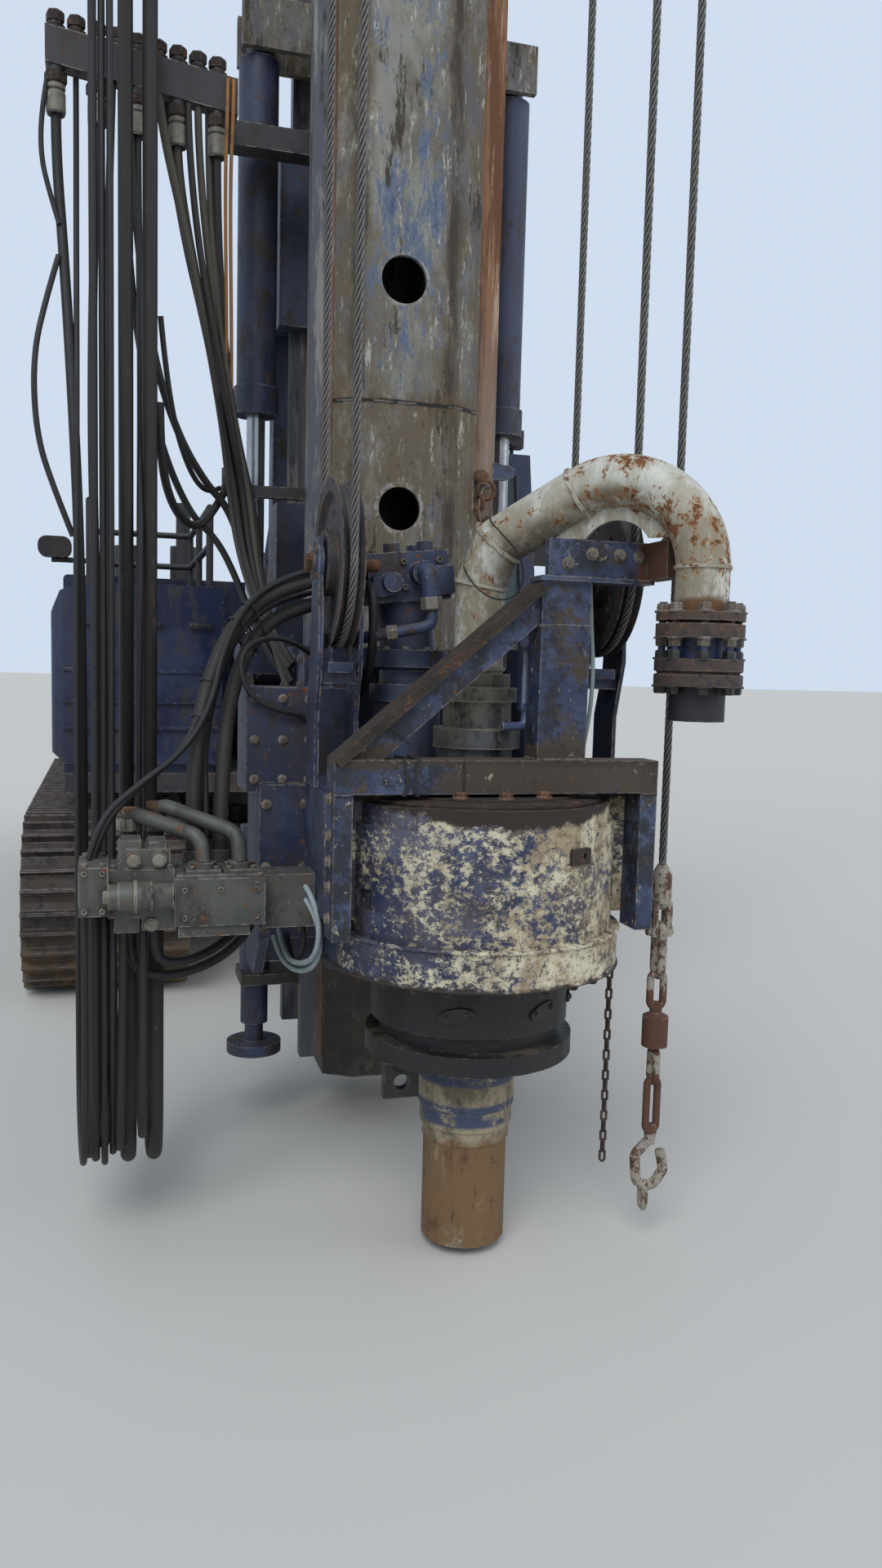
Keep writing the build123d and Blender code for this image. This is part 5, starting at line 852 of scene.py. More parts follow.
THICK = 23
HOSES = {
    "thick_hose_outer": ("both", THICK, "hose_rubber", "stiff", (
        (-953, 700, 7440), (-953, 700, 685), (-953, 700, 190), (-955, 205, 190), (-955, 205, 685),
        (-955, 205, 1215))),
    "thick_hose_inner": ("both", THICK, "hose_rubber", "stiff", (
        (-880, 700, 7440), (-880, 700, 685), (-880, 700, 190), (-880, 205, 190), (-880, 205, 685),
        (-880, 205, 1215))),
    "thin_hose": ("both", 12, "hose_dark", "medium", (
        (-1047, 470, 7440), (-1047, 470, 630), (-1047, 470, 240), (-1047, 80, 240), (-1047, 80, 1020))),
    "thin_hose_middle": ("both", 10, "hose_dark", "medium", u_hose(-1022, 478, 222, 85)),
    "thin_hose_inner": ("both", 10, "hose_dark", "medium", u_hose(-999, 468, 252, 90)),
    "arc_hose_outer": ("carriage", THICK, "hose_rubber", "stiff", (
        (-350, 590, 1965), (-500, 510, 1925), (-640, 420, 1815), (-735, 320, 1620), (-775, 235, 1400),
        (-775, 215, 1150))),
    "arc_hose_inner": ("carriage", THICK, "hose_rubber", "stiff", (
        (-350, 625, 1890), (-490, 560, 1850), (-590, 480, 1750), (-655, 385, 1600), (-690, 265, 1400),
        (-700, 215, 1150))),
    "bank_hose_outer": ("both", 16, "hose_dark", "stiff", (
        (-1160, 860, 3376), (-1160, 860, 3250), (-1138, 800, 2950), (-1108, 660, 2450), (-1090, 600, 2000),
        (-1085, 580, 1300), (-1085, 580, 620), (-1085, 580, 240), (-1060, 150, 240), (-1055, 140, 620),
        (-1055, 130, 1018))),
    "bank_hose_middle": ("both", 14, "hose_dark", "stiff", (
        (-1036, 860, 3362), (-1038, 860, 3240), (-1050, 800, 2920), (-1055, 660, 2400), (-1045, 600, 1950),
        (-1040, 580, 1300), (-1040, 580, 600), (-1040, 580, 270), (-1020, 140, 270), (-1020, 130, 600),
        (-1020, 125, 1012))),
    "bank_hose_inner": ("both", 12, "hose_dark", "medium", (
        (-990, 855, 3505), (-995, 840, 3350), (-1005, 780, 3000), (-1012, 660, 2500), (-1006, 600, 1900),
        (-1000, 590, 1200), (-995, 580, 620), (-990, 570, 260), (-980, 130, 260), (-975, 90, 600),
        (-970, 85, 965))),
    "middle_hose": ("both", 11, "hose_dark", "medium", (
        (-912, 860, 3347), (-912, 860, 3200), (-905, 820, 2700), (-912, 640, 2000), (-918, 600, 1300),
        (-918, 600, 620), (-918, 600, 300), (-918, 100, 300), (-918, 80, 620), (-918, 70, 980))),
    "slant_hose_1": ("both", 14, "hose_grey", "stiff", (
        (-850, 845, 3487), (-838, 840, 3380), (-785, 830, 3150), (-712, 850, 2860), (-635, 940, 2520),
        (-600, 1035, 2320), (-572, 990, 2080), (-500, 900, 1840), (-410, 800, 1680))),
    "slant_hose_2": ("both", 14, "hose_grey", "stiff", (
        (-788, 860, 3332), (-786, 860, 3250), (-745, 870, 3020), (-680, 890, 2740), (-605, 970, 2460),
        (-573, 1048, 2300), (-545, 1000, 2060), (-485, 910, 1820), (-405, 820, 1640))),
    "slant_hose_3": ("both", 12, "hose_grey", "stiff", (
        (-726, 850, 3468), (-724, 850, 3350), (-700, 860, 3080), (-645, 900, 2720), (-585, 980, 2440),
        (-545, 1050, 2300), (-522, 1010, 2050), (-470, 930, 1800), (-405, 850, 1610))),
    "slant_hose_4": ("both", 14, "hose_dark", "stiff", (
        (-664, 860, 3318), (-664, 860, 3220), (-652, 880, 2950), (-615, 930, 2600), (-552, 1020, 2360),
        (-517, 1052, 2260), (-495, 1020, 2020), (-455, 960, 1800), (-405, 900, 1600))),
    "slant_hose_5": ("both", 13, "hose_dark", "stiff", (
        (-940, 850, 3495), (-935, 850, 3300), (-905, 860, 2950), (-860, 880, 2660), (-780, 930, 2440),
        (-680, 1010, 2300), (-600, 1045, 2230), (-545, 1020, 2060), (-500, 950, 1860), (-410, 870, 1710))),
    "slant_hose_6": ("both", 12, "hose_dark", "stiff", (
        (-960, 850, 3500), (-958, 850, 3280), (-930, 880, 2820), (-850, 940, 2440), (-740, 1020, 2200),
        (-640, 1040, 2120), (-570, 1030, 1980), (-500, 980, 1780), (-410, 920, 1640))),
    "slant_hose_7": ("both", 12, "hose_dark", "stiff", (
        (-820, 870, 3468), (-812, 870, 3320), (-765, 870, 3050), (-695, 880, 2780), (-620, 950, 2460),
        (-588, 1000, 2280), (-560, 960, 2060), (-495, 870, 1840), (-408, 770, 1690))),
    "slant_hose_8": ("both", 11, "hose_dark", "stiff", (
        (-757, 840, 3462), (-755, 835, 3320), (-720, 830, 3000), (-655, 860, 2700), (-590, 945, 2420),
        (-555, 1012, 2260), (-530, 970, 2030), (-475, 880, 1790), (-408, 790, 1630))),
    "slant_hose_9": ("both", 12, "hose_grey", "stiff", (
        (-690, 870, 3452), (-690, 870, 3330), (-675, 870, 3000), (-628, 900, 2660), (-568, 980, 2400),
        (-530, 1020, 2250), (-510, 985, 2020), (-465, 900, 1770), (-408, 810, 1585))),
    "bank_hose_front": ("both", 9, "hose_dark", "medium", (
        (-1100, 870, 3500), (-1100, 870, 3340), (-1100, 800, 3000), (-1098, 660, 2450), (-1100, 560, 2000),
        (-1100, 540, 1300), (-1100, 540, 620), (-1100, 540, 250), (-1075, 50, 250), (-1072, 30, 620),
        (-1072, 30, 1018))),
    "cable_orange_1": ("mast", 6, "cable_orange", "medium", (
        (-616, 822, 3550), (-617, 815, 3440), (-624, 815, 3280), (-622, 825, 3050), (-612, 870, 2780),
        (-600, 970, 2500), (-590, 1075, 2345))),
    "cable_orange_2": ("mast", 6, "cable_orange", "medium", (
        (-634, 822, 3550), (-636, 812, 3440), (-641, 812, 3280), (-638, 822, 3050), (-628, 870, 2780),
        (-616, 980, 2500), (-610, 1075, 2345))),
    "side_loop": ("mast", 9, "hose_dark", "medium", (
        (-1152, 780, 2930), (-1185, 740, 2800), (-1225, 680, 2600), (-1215, 630, 2360), (-1165, 610, 2200),
        (-1110, 600, 2060))),
    "end_loop": ("mast", 8, "hose_dark", "medium", (
        (-1180, 850, 3505), (-1202, 840, 3380), (-1205, 830, 3240), (-1180, 810, 3130), (-1150, 800, 3030))),
    "hook_loop": ("mast", 14, "hose_dark", "stiff", (
        (-850, 705, 2500), (-848, 740, 2340), (-810, 820, 2200), (-740, 930, 2140), (-670, 1020, 2180),
        (-615, 1080, 2285))),
    "hook_loop_small": ("mast", 9, "hose_dark", "medium", (
        (-848, 700, 2760), (-830, 740, 2600), (-790, 820, 2420), (-730, 920, 2300), (-670, 1010, 2270),
        (-630, 1070, 2300))),
    "arc_hose_thin": ("carriage", 9, "hose_dark", "medium", (
        (-340, 645, 1930), (-480, 590, 1900), (-610, 500, 1800), (-690, 410, 1650), (-738, 310, 1450),
        (-738, 235, 1280), (-738, 220, 1118))),
    "sweep_hose_1": ("carriage", 9, "hose_dark", "medium", (
        (-340, 560, 2000), (-450, 530, 1975), (-600, 420, 1885), (-682, 350, 1730), (-720, 270, 1570),
        (-800, 190, 1440), (-930, 120, 1350), (-1035, 90, 1260), (-1060, 80, 1152))),
    "sweep_hose_2": ("carriage", 8, "hose_dark", "medium", (
        (-340, 570, 1990), (-470, 560, 1955), (-615, 455, 1870), (-700, 375, 1720), (-745, 280, 1550),
        (-820, 210, 1420), (-940, 150, 1330), (-1022, 130, 1240), (-1045, 120, 1152))),
    "round_loop": ("carriage", 9, "hose_dark", "medium", (
        (-345, 620, 1700), (-420, 520, 1750), (-520, 430, 1775), (-610, 380, 1745), (-635, 345, 1670),
        (-600, 335, 1590), (-520, 335, 1550), (-440, 340, 1540), (-400, 358, 1500))),
    "flex_loop_1": ("carriage", 8, "flex_pale", "medium", (
        (-560, 297, 1020), (-555, 200, 1055), (-530, 100, 1075), (-485, 30, 1050), (-450, -10, 980),
        (-440, -15, 900), (-455, 40, 830), (-490, 140, 800), (-520, 240, 820), (-530, 297, 870))),
    "flex_loop_2": ("carriage", 8, "flex_pale", "medium", (
        (-535, 297, 1050), (-530, 190, 1085), (-505, 80, 1100), (-475, 10, 1070), (-452, -30, 1000),
        (-450, -35, 920), (-465, 20, 855), (-500, 120, 830), (-510, 220, 845), (-515, 297, 890))),
    "flex_loop_3": ("carriage", 8, "hose_dark", "medium", (
        (-500, 297, 1080), (-500, 210, 1070), (-490, 120, 1020), (-475, 70, 940), (-475, 80, 870),
        (-485, 150, 820), (-490, 230, 830), (-490, 297, 870))),
    "under_hose_1": ("carriage", 14, "hose_dark", "stiff", (
        (-955, 100, 967), (-955, 105, 900), (-935, 120, 830), (-860, 150, 800), (-760, 180, 810),
        (-670, 210, 850), (-600, 240, 920), (-575, 270, 1000))),
    "under_hose_2": ("carriage", 13, "hose_dark", "stiff", (
        (-890, 60, 977), (-890, 65, 910), (-870, 80, 860), (-800, 110, 850), (-710, 160, 875),
        (-630, 220, 930), (-585, 280, 1020))),
    "wire_loop": ("carriage", 2.5, "tie_black", "stiff", (
        (-62, -35, 1970), (-55, -80, 1925), (0, -105, 1878), (60, -125, 1885), (85, -130, 1945),
        (60, -135, 2010), (12, -135, 2055), (-20, -100, 2100), (15, -30, 2130))),
    "column_hose": ("carriage", 6, "flex_pale", "medium", (
        (248, -200, 1926), (252, -205, 1820), (262, -210, 1700), (262, -200, 1580), (252, -190, 1500),
        (250, -180, 1452))),
    "motor_hose": ("carriage", 13, "hose_dark", "stiff", (
        (-300, 100, 1920), (-302, 50, 1910), (-300, 30, 1840), (-298, 40, 1750), (-296, 100, 1660),
        (-296, 220, 1600), (-298, 360, 1580), (-300, 475, 1580))),
}
CAD_HOSES = ("thick_hose_outer", "thick_hose_inner", "thin_hose", "arc_hose_outer", "arc_hose_inner")


def add_cord(name, body, radius, finish, stiffness, route):
    """A hose from its route. One from the mast to the carriage is a mesh of its own, on neither body."""
    points = [at(*(measure / 1000 for measure in place)) for place in route]
    radius /= 1000
    curve, line = smooth_line(name, points, 12)
    if body == "both":
        bpy.data.objects.remove(curve)
        piece = Piece(name, None, "hose_rubber", finish).tube(line, radius, 14).done()
        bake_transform(piece)
    else:
        piece = curve
        piece.data.bevel_depth = radius
        piece.data.bevel_resolution = 4
        piece.data.use_fill_caps = True
        piece.data.materials.append(FINISHES[finish])
        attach(piece, body)
    if name in CAD_HOSES:
        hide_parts(name)
    length_of(line)
    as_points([tuple(p) for p in line] if body == "both" else None)
    return line


# Ropes, which are held taut
def straight(start, end, step=0.014):
    count = max(2, int((end - start).length / step))
    return [start.lerp(end, n / count) for n in range(count + 1)]


def arc(x, reach, z, first, last, p=HEAD_P, step=8):
    """Points round a sheave whose shaft is at (p, z); angles in degrees, 0 to the rear and 90 up."""
    count = max(2, int(abs(last - first) / step))
    angles = [math.radians(first + (last - first) * n / count) for n in range(count + 1)]
    return [at(x, p + reach * math.cos(a), z + reach * math.sin(a)) for a in angles]


def far_rope(piece, start, end, radius):
    """A straight run that the photograph doesn't show, with fewer points and longer turns."""
    piece.rope(straight(start, end, 0.03), radius, FAR_LAY)


def hung_rope(piece, top, foot, near=4.3):
    """A rope that hangs straight, with finer turns below the height near, where the photograph shows it."""
    knee = top.lerp(foot, (top.z - near) / (top.z - foot.z))
    far_rope(piece, top, knee, ROPE_RADIUS)
    piece.rope(straight(knee, foot), ROPE_RADIUS, LAY)


def add_ropes():
    """The hoist ropes' legs hang on the mast and their bights ride on the carriage; the hook's and the
    winches' hang on the mast.
    """
    for side, x in (("right", -SHEAVE_X), ("left", SHEAVE_X)):
        for place, sign in (("front", -1), ("rear", 1)):
            leg = Piece(f"hoist_rope_{side}_{place}", "mast", "wire_rope")
            top = at(x, HEAD_P + sign * HEAD_REACH, HEAD_Z)
            foot = at(x, HEAD_P + sign * SHEAVE_REACH, SHEAVE_Z)
            hung_rope(leg, top, foot)
            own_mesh(leg.done())
        bight = Piece(f"hoist_rope_{side}_bight", "carriage", "wire_rope")
        bight.rope(arc(x, SHEAVE_REACH, SHEAVE_Z, 180, 360, step=4), ROPE_RADIUS, LAY).done()
    still = Piece("hook_and_winch_ropes", "mast", "wire_rope")
    hung_rope(still, at(HOOK_X, HEAD_P - HEAD_REACH, HEAD_Z), at(HOOK_X, HEAD_P - HEAD_REACH, 1.142))
    for x, z in zip((-WINCH_ROPE_X, WINCH_ROPE_X), WINCHES.values()):
        far_rope(still, at(x, WINCH_ROPE_P, z), at(x, WINCH_ROPE_P, HEAD_Z), WINCH_ROPE_RADIUS)
    still.done(replaces=("ropes",))
    crown = Piece("head_ropes", "mast", "wire_rope")
    for x, last in ((-SHEAVE_X, 0), (SHEAVE_X, 0), (HOOK_X, 90)):
        crown.rope(arc(x, HEAD_REACH, HEAD_Z, 180, last), ROPE_RADIUS, LAY)
    top = HEAD_Z + HEAD_REACH
    for front, rear in ((-SHEAVE_X, -WINCH_ROPE_X), (HOOK_X, WINCH_ROPE_X)):
        far_rope(crown, at(front, HEAD_P, top), at(rear, REAR_P, top), WINCH_ROPE_RADIUS)
        crown.rope(arc(rear, HEAD_REACH, HEAD_Z, 90, 0, REAR_P), WINCH_ROPE_RADIUS, LAY)
    crown.done()
    steps, half, core = 80, 0.19, 0.131
    windings = [(core + 0.008 * abs(math.sin(math.pi * n / 4)), half * (2 * n / steps - 1))
                for n in range(steps + 1)]
    profile = [(core - 0.002, -half), *windings, (core - 0.002, half)]
    for body, z in WINCHES.items():
        wound = Piece(f"{body}_windings", body, "wire_rope")
        wound.turned(profile, at(0, WINCH_P, z), (1, 0, 0), 32)
        wound.done()


# Small rigid pieces
def goose(reach, z, aside=0.0):
    """A point of the gooseneck's upright plane; aside is to its right as seen from the pile axis."""
    u, v = OUTLET[0] / OUTLET_REACH, OUTLET[1] / OUTLET_REACH
    return at(u * reach + v * aside, v * reach - u * aside, z)


def add_gooseneck_welds():
    """Weld beads at the mitres and round the ends of the bend, each an oval of short runs."""
    welds = Piece("gooseneck_welds", "carriage", "pipe_paint", "weld")
    # Each as its centre's reach and height, the pipe's direction there and how far the oval is stretched
    beads = (((0.0, 1.925), (0.198, 0.980), 1.02), ((0.05, 2.041), (0.673, 0.740), 1.09),
             ((0.2835, 2.166), (0.8814, 0.4724), 1.0), ((0.6266, 1.965), (0, 1), 1.0),
             ((0.0, 1.69), (0, 1), 1.0))
    for (reach, z), direction, stretch in beads:
        along, rise = Vector(direction).normalized()
        rings = []
        for t in turns(40):
            inner, outer = PIPE_RADIUS - 0.002, PIPE_RADIUS + 0.005 + 0.0015 * math.sin(9 * t)
            ring = []
            for lift, radius in ((-0.007, inner), (-0.004, outer), (0.004, outer), (0.007, inner)):
                across, up = radius * math.sin(t), radius * stretch * math.cos(t)
                ring.append(goose(reach - rise * up + along * lift, z + along * up + rise * lift, across))
            rings.append(ring)
        welds.loft(rings, closed=True)
    welds.done(60)


def add_stack_nuts():
    """Nuts on their washers on both faces of the two pairs of flanges."""
    nuts = Piece("stack_nuts", "carriage", "blue_flange", "bolt_steel")
    dark = Piece("stack_nuts_low", "carriage", "blue_flange", "black_bolt")
    faces = ((nuts, 0.0, UP, 0.024), (nuts, 0.066, DOWN, 0.024), (dark, 0.120, UP, 0.024),
             (dark, 0.190, DOWN, 0.022))
    for piece, drop, axis, height in faces:
        for place in ring_of(*OUTLET, OUTLET_Z - drop, 0.096, 8, 0.5):
            piece.bolt(place, axis, 0.030, height)
    nuts.done(30)
    dark.done(30)


def add_drum_bolts():
    """Bolts under the lower ring and on the top disc, the disc's plates and beads round the drum."""
    ring = Piece("drum_ring_bolts", "carriage", "grey_steel", "dark_iron")
    for place in ring_of(0, 0, 0.865, 0.40, 28):
        ring.bolt(place, DOWN, 0.024, 0.016)
    ring.done(30)
    top = Piece("drum_top_bolts", "carriage", "rusty_steel")
    for place in ring_of(0, 0, 1.35, 0.272, 14, 0.5):
        top.bolt(place, UP, 0.032, 0.020)
    top.done(30)
    lip = Piece("drum_top_plates", "carriage", "grey_steel", "dark_iron")
    lip.turned([(0.27, 0.0), (0.358, 0.0), (0.362, 0.003), (0.362, 0.010), (0.345, 0.014), (0.300, 0.014)],
               at(0, 0, 1.330), sides=64)
    lip.done(30)
    bead = Piece("drum_beads", "carriage", "navy_paint", "drum_paint")
    for radius, z, thick in ((0.4215, 0.971, 0.006), (0.4205, 0.869, 0.005)):
        bead.ring(at(0, 0, z), UP, radius, thick, 72)
    bead.done(60)


def add_cover_lug():
    """The lug on the cover's right: a plate with clipped ends and a hole."""
    lug = Piece("cover_lug", "carriage", "rusty_steel", "dark_iron")
    middle, out, side = facing(math.atan2(-0.353, 0.188), 0.405, 1.208)
    long, high, corner, hole, set_back, half = 0.037, 0.022, 0.040, 0.009, 0.012, 0.006
    outer, inner = [], []
    for t in turns(32):
        reach = min(long / max(abs(math.cos(t)), 1e-6), high / max(abs(math.sin(t)), 1e-6), corner)
        outer.append(side * (reach * math.cos(t) - set_back) + Vector((0, 0, reach * math.sin(t))))
        inner.append(side * (hole * math.cos(t)) + Vector((0, 0, hole * math.sin(t))))
    lug.loft([[middle + place + out * lift for place in loop]
              for loop, lift in ((outer, -half), (outer, half), (inner, half), (inner, -half))], closed=True)
    lug.done(30)


def add_chuck_covers():
    """The chuck's oval plates, each held by two bolts."""
    covers = Piece("chuck_covers", "spindle", "grey_steel", "black_bolt")
    for x in (-0.118, 0.133, 0.27):
        middle, out, side = facing(math.asin(x / 0.285) - math.pi / 2, 0.283, 0.765)
        rings = []
        for scale, lift in ((1.0, -0.006), (1.0, 0.005), (0.93, 0.008), (0.3, 0.008)):
            rings.append([middle + side * 0.050 * scale * math.cos(t) + out * lift
                          + Vector((0, 0, (0.022 * math.sin(t) + 0.009 * math.cos(t)) * scale))
                          for t in turns(24)])
        covers.loft(rings)
        for s in (-1, 1):
            place = middle + side * 0.030 * s + out * 0.007 + Vector((0, 0, 0.006 * s))
            covers.bolt(place, out, 0.014, 0.009)
    covers.done(30)


def add_brace_angle():
    """The angle iron along the top of the diagonal brace."""
    angle = Piece("brace_angle", "carriage", "beam_paint", "dark_iron")
    section = ((-0.252, 0.007), (-0.252, -0.020), (-0.246, -0.020), (-0.246, 0.001), (-0.150, 0.001),
               (-0.150, 0.007))
    angle.loft([[end + Vector((0, p, 0)) + BRACE_RISE * lift for p, lift in section]
                for end in (BRACE_LOW, BRACE_HIGH)])
    angle.done(20)


def add_frame_bolts():
    """Bolts of the end posts and of the pipe clamp."""
    bolts = Piece("frame_bolts", "carriage", "beam_paint", "bolt_steel")
    for z in (1.345, 1.248, 1.181, 1.112, 1.03):
        for s in (-1, 1):
            bolts.bolt(at(s * 0.455, -0.195, z), (s, 0, 0), 0.024)
    for x, z in ((0.165, 1.975), (0.233, 2.003), (0.313, 2.003), (0.37, 2.003)):
        bolts.bolt(at(x, -0.24, z), FRONT, 0.024)
    for x, p in ((0.405, -0.33), (0.43, -0.30)):
        bolts.bolt(at(x, p, 2.04), UP, 0.020)
    bolts.done(30)


def add_straps():
    """Two straps round the beam, a loose end of wire on it and another on the brace."""
    straps = Piece("beam_straps", "carriage", "hose_rubber", "tie_black")
    steps, wire, loose = 4, 0.0035, 0.0018
    beam = ((-0.243, 1.357), (-0.137, 1.357), (-0.137, 1.453), (-0.243, 1.453))
    band = ((-0.004, 0), (0.004, 0), (0.004, 0.0025), (-0.004, 0.0025))
    for x, lean in ((-0.271, 0.003), (-0.233, -0.004)):
        middle = at(x, -0.19, 1.405)
        loop = outline([at(x, p, z) for p, z in beam], steps)
        loop = [place + Vector((lean * (n % steps), 0, 0)) for n, place in enumerate(loop)]
        straps.loft([[place + Vector((dx, 0, 0)) + (place - middle).normalized() * lift for dx, lift in band]
                     for place in loop], closed=True)
    straps.tube([at(-0.109, -0.243, 1.452), at(-0.108, -0.244, 1.40), at(-0.110, -0.245, 1.35),
                 at(-0.122, -0.244, 1.322)], loose, 6)
    middle = BRACE_LOW.lerp(BRACE_HIGH, 0.24) + Vector((0, -0.236, 0)) - BRACE_RISE * 0.055
    straps.tube([middle + BRACE_RISE * 0.062 - BRACE_ALONG * 0.02, middle + Vector((0, -0.002, 0)),
                 middle - BRACE_RISE * 0.048 + BRACE_ALONG * 0.004], wire, 6)
    straps.done()


def add_frame_welds():
    """Weld seams round the column and where the beam meets its end posts."""
    seams = Piece("frame_welds", "carriage", "beam_paint")
    tall, deep = 0.005, 0.0035
    section = [Vector(away) for away in ((0, 0, -tall), (deep, -deep, 0), (0, 0, tall), (-deep, deep, 0))]
    for z in (1.451, 1.81, 1.938):
        corners = [at(x, p, z) for x, p in ((0.095, -0.24), (0.235, -0.24), (0.235, -0.145), (0.095, -0.145))]
        seams.loft([[place + away for away in section] for place in outline(corners, 8)], closed=True)
    for s in (-1, 1):
        seams.tube([at(s * 0.407, -0.241, 1.359), at(s * 0.43, -0.242, 1.358), at(s * 0.453, -0.241, 1.359)],
                   0.004, 8)
    seams.done(60)


def add_junction_box():
    """The slim box behind the column, with its lid and pipe."""
    box = Piece("junction_box", "carriage", "navy_paint", "blue_pipe")
    box.slab(at(0.082, -0.1445, 1.58), at(0.142, -0.104, 1.76), 0.006)
    box.bent([at(0.10, -0.125, 1.582), at(0.10, -0.130, 1.545), at(0.085, -0.134, 1.535),
              at(0.03, -0.133, 1.535)], 0.012)
    box.slab(at(0.088, -0.150, 1.60), at(0.136, -0.143, 1.74), 0.002)
    box.done(30)


def add_motor_details():
    """Screws, elbow, hexagon nuts and the curved pipe on the tilted motor, and the bolts of its flanges."""
    lean = Matrix.Rotation(math.radians(-6), 4, "Y")
    base = Matrix.Translation(at(*MOTOR)) @ lean
    lean = lean.to_3x3()

    def spot(x, y, z):
        return base @ Vector((x, y, z))
    front, upright = lean @ Vector(FRONT), lean @ Vector(UP)
    screws = Piece("motor_screws", "carriage", "navy_paint", "bolt_steel")
    for x, z in ((-0.018, 0.262), (-0.018, 0.190), (0.088, 0.262), (0.088, 0.188), (-0.105, 0.262),
                 (-0.105, 0.175)):
        screws.cap_screw(spot(x, -0.095, z), front, 0.0095)
    for x, y in ((-0.10, -0.075), (0.095, -0.075), (0.095, 0.07), (-0.10, 0.07)):
        screws.cap_screw(spot(x, y, 0.290), upright, 0.0095)
    for radius, z in ((0.101, 1.74), (0.104, 1.39)):
        for place in ring_of(*MOTOR[:2], z, radius, 10):
            screws.bolt(place, UP, 0.018)
    screws.done(30)

    elbow = Piece("motor_elbow", "carriage", "navy_paint", "blue_pipe")
    elbow.bent([spot(0.03, y, z) for y, z in (
        (-0.145, 0.225), (-0.185, 0.228), (-0.192, 0.20), (-0.192, 0.15))], 0.026, 14)
    elbow.bent([spot(*place) for place in (
        (0.03, -0.192, 0.125), (0.03, -0.192, 0.09), (0.012, -0.192, 0.072), (-0.06, -0.188, 0.066),
        (-0.13, -0.165, 0.060), (-0.165, -0.10, 0.055), (-0.165, -0.04, 0.055))], 0.0165, 12)
    elbow.done()
    nuts = Piece("motor_nuts", "carriage", "grey_steel", "collar_steel")
    nuts.turned(nut(0.026, 0.031, 0.004, 0.034, 0.038), spot(0.03, -0.192, 0.118), upright, 6)
    nuts.turned(nut(0.020, 0.022, 0.003, 0.026, 0.030), spot(-0.075, -0.1885, 0.064),
                lean @ Vector((-1, 0.16, -0.03)), 6)
    nuts.done(30)

    pad = Piece("motor_pad", "carriage", "navy_paint")
    for corner, size in (((0.07, -0.110, 0.165), (0.055, 0.06, 0.085)),
                         ((-0.118, -0.112, 0.170), (0.07, 0.05, 0.06))):
        pad.slab(spot(*corner), spot(*corner) + Vector(size), 0.008, lean)
    for n in range(3):
        pad.turned([(0.014, 0), (0.016, 0.004), (0.016, 0.02), (0.010, 0.024)],
                   spot(0.118, -0.06 + 0.05 * n, 0.20), lean @ Vector((1, 0, 0)), 6)
    pad.done(30)


def add_sheave_details():
    """Shaft pins with their nuts, cross plates of the brackets, and the sheaves' hubs with their bolts."""
    pins = Piece("sheave_pins", "carriage", "rusty_steel")
    plates = Piece("bracket_plates", "carriage", "navy_paint")
    pin = [(0.014, 0), (0.018, 0.004), (0.018, 0.045), (0.0155, 0.05), (0.0155, 0.150), (0.019, 0.153),
           (0.019, 0.172), (0.013, 0.178)]
    for s in (-1, 1):
        pins.turned(pin, at(s * (SHEAVE_X - 0.118), HEAD_P, SHEAVE_Z), (s, 0, 0), 16)
        pins.bolt(at(s * (SHEAVE_X + 0.072), HEAD_P, SHEAVE_Z), (s, 0, 0), 0.045, 0.022)
        middle = s * (SHEAVE_X - 0.002)
        plates.slab(at(middle - 0.036, HEAD_P - 0.058, SHEAVE_Z - 0.30),
                    at(middle + 0.036, HEAD_P - 0.048, SHEAVE_Z - 0.27), 0.003)
        for x in (s * (SHEAVE_X - 0.056), s * (SHEAVE_X + 0.056)):
            plates.turned([(0.062, -0.009), (0.066, -0.006), (0.066, 0.006), (0.062, 0.009)],
                          at(x, HEAD_P, SHEAVE_Z), (1, 0, 0), 28)
            out = 1 if x > s * SHEAVE_X else -1
            for t in turns(4, 0.5):
                place = at(x + 0.008 * out, HEAD_P + 0.050 * math.cos(t), SHEAVE_Z + 0.050 * math.sin(t))
                pins.bolt(place, (out, 0, 0), 0.014, 0.008)
    pins.done(35)
    plates.done(30)


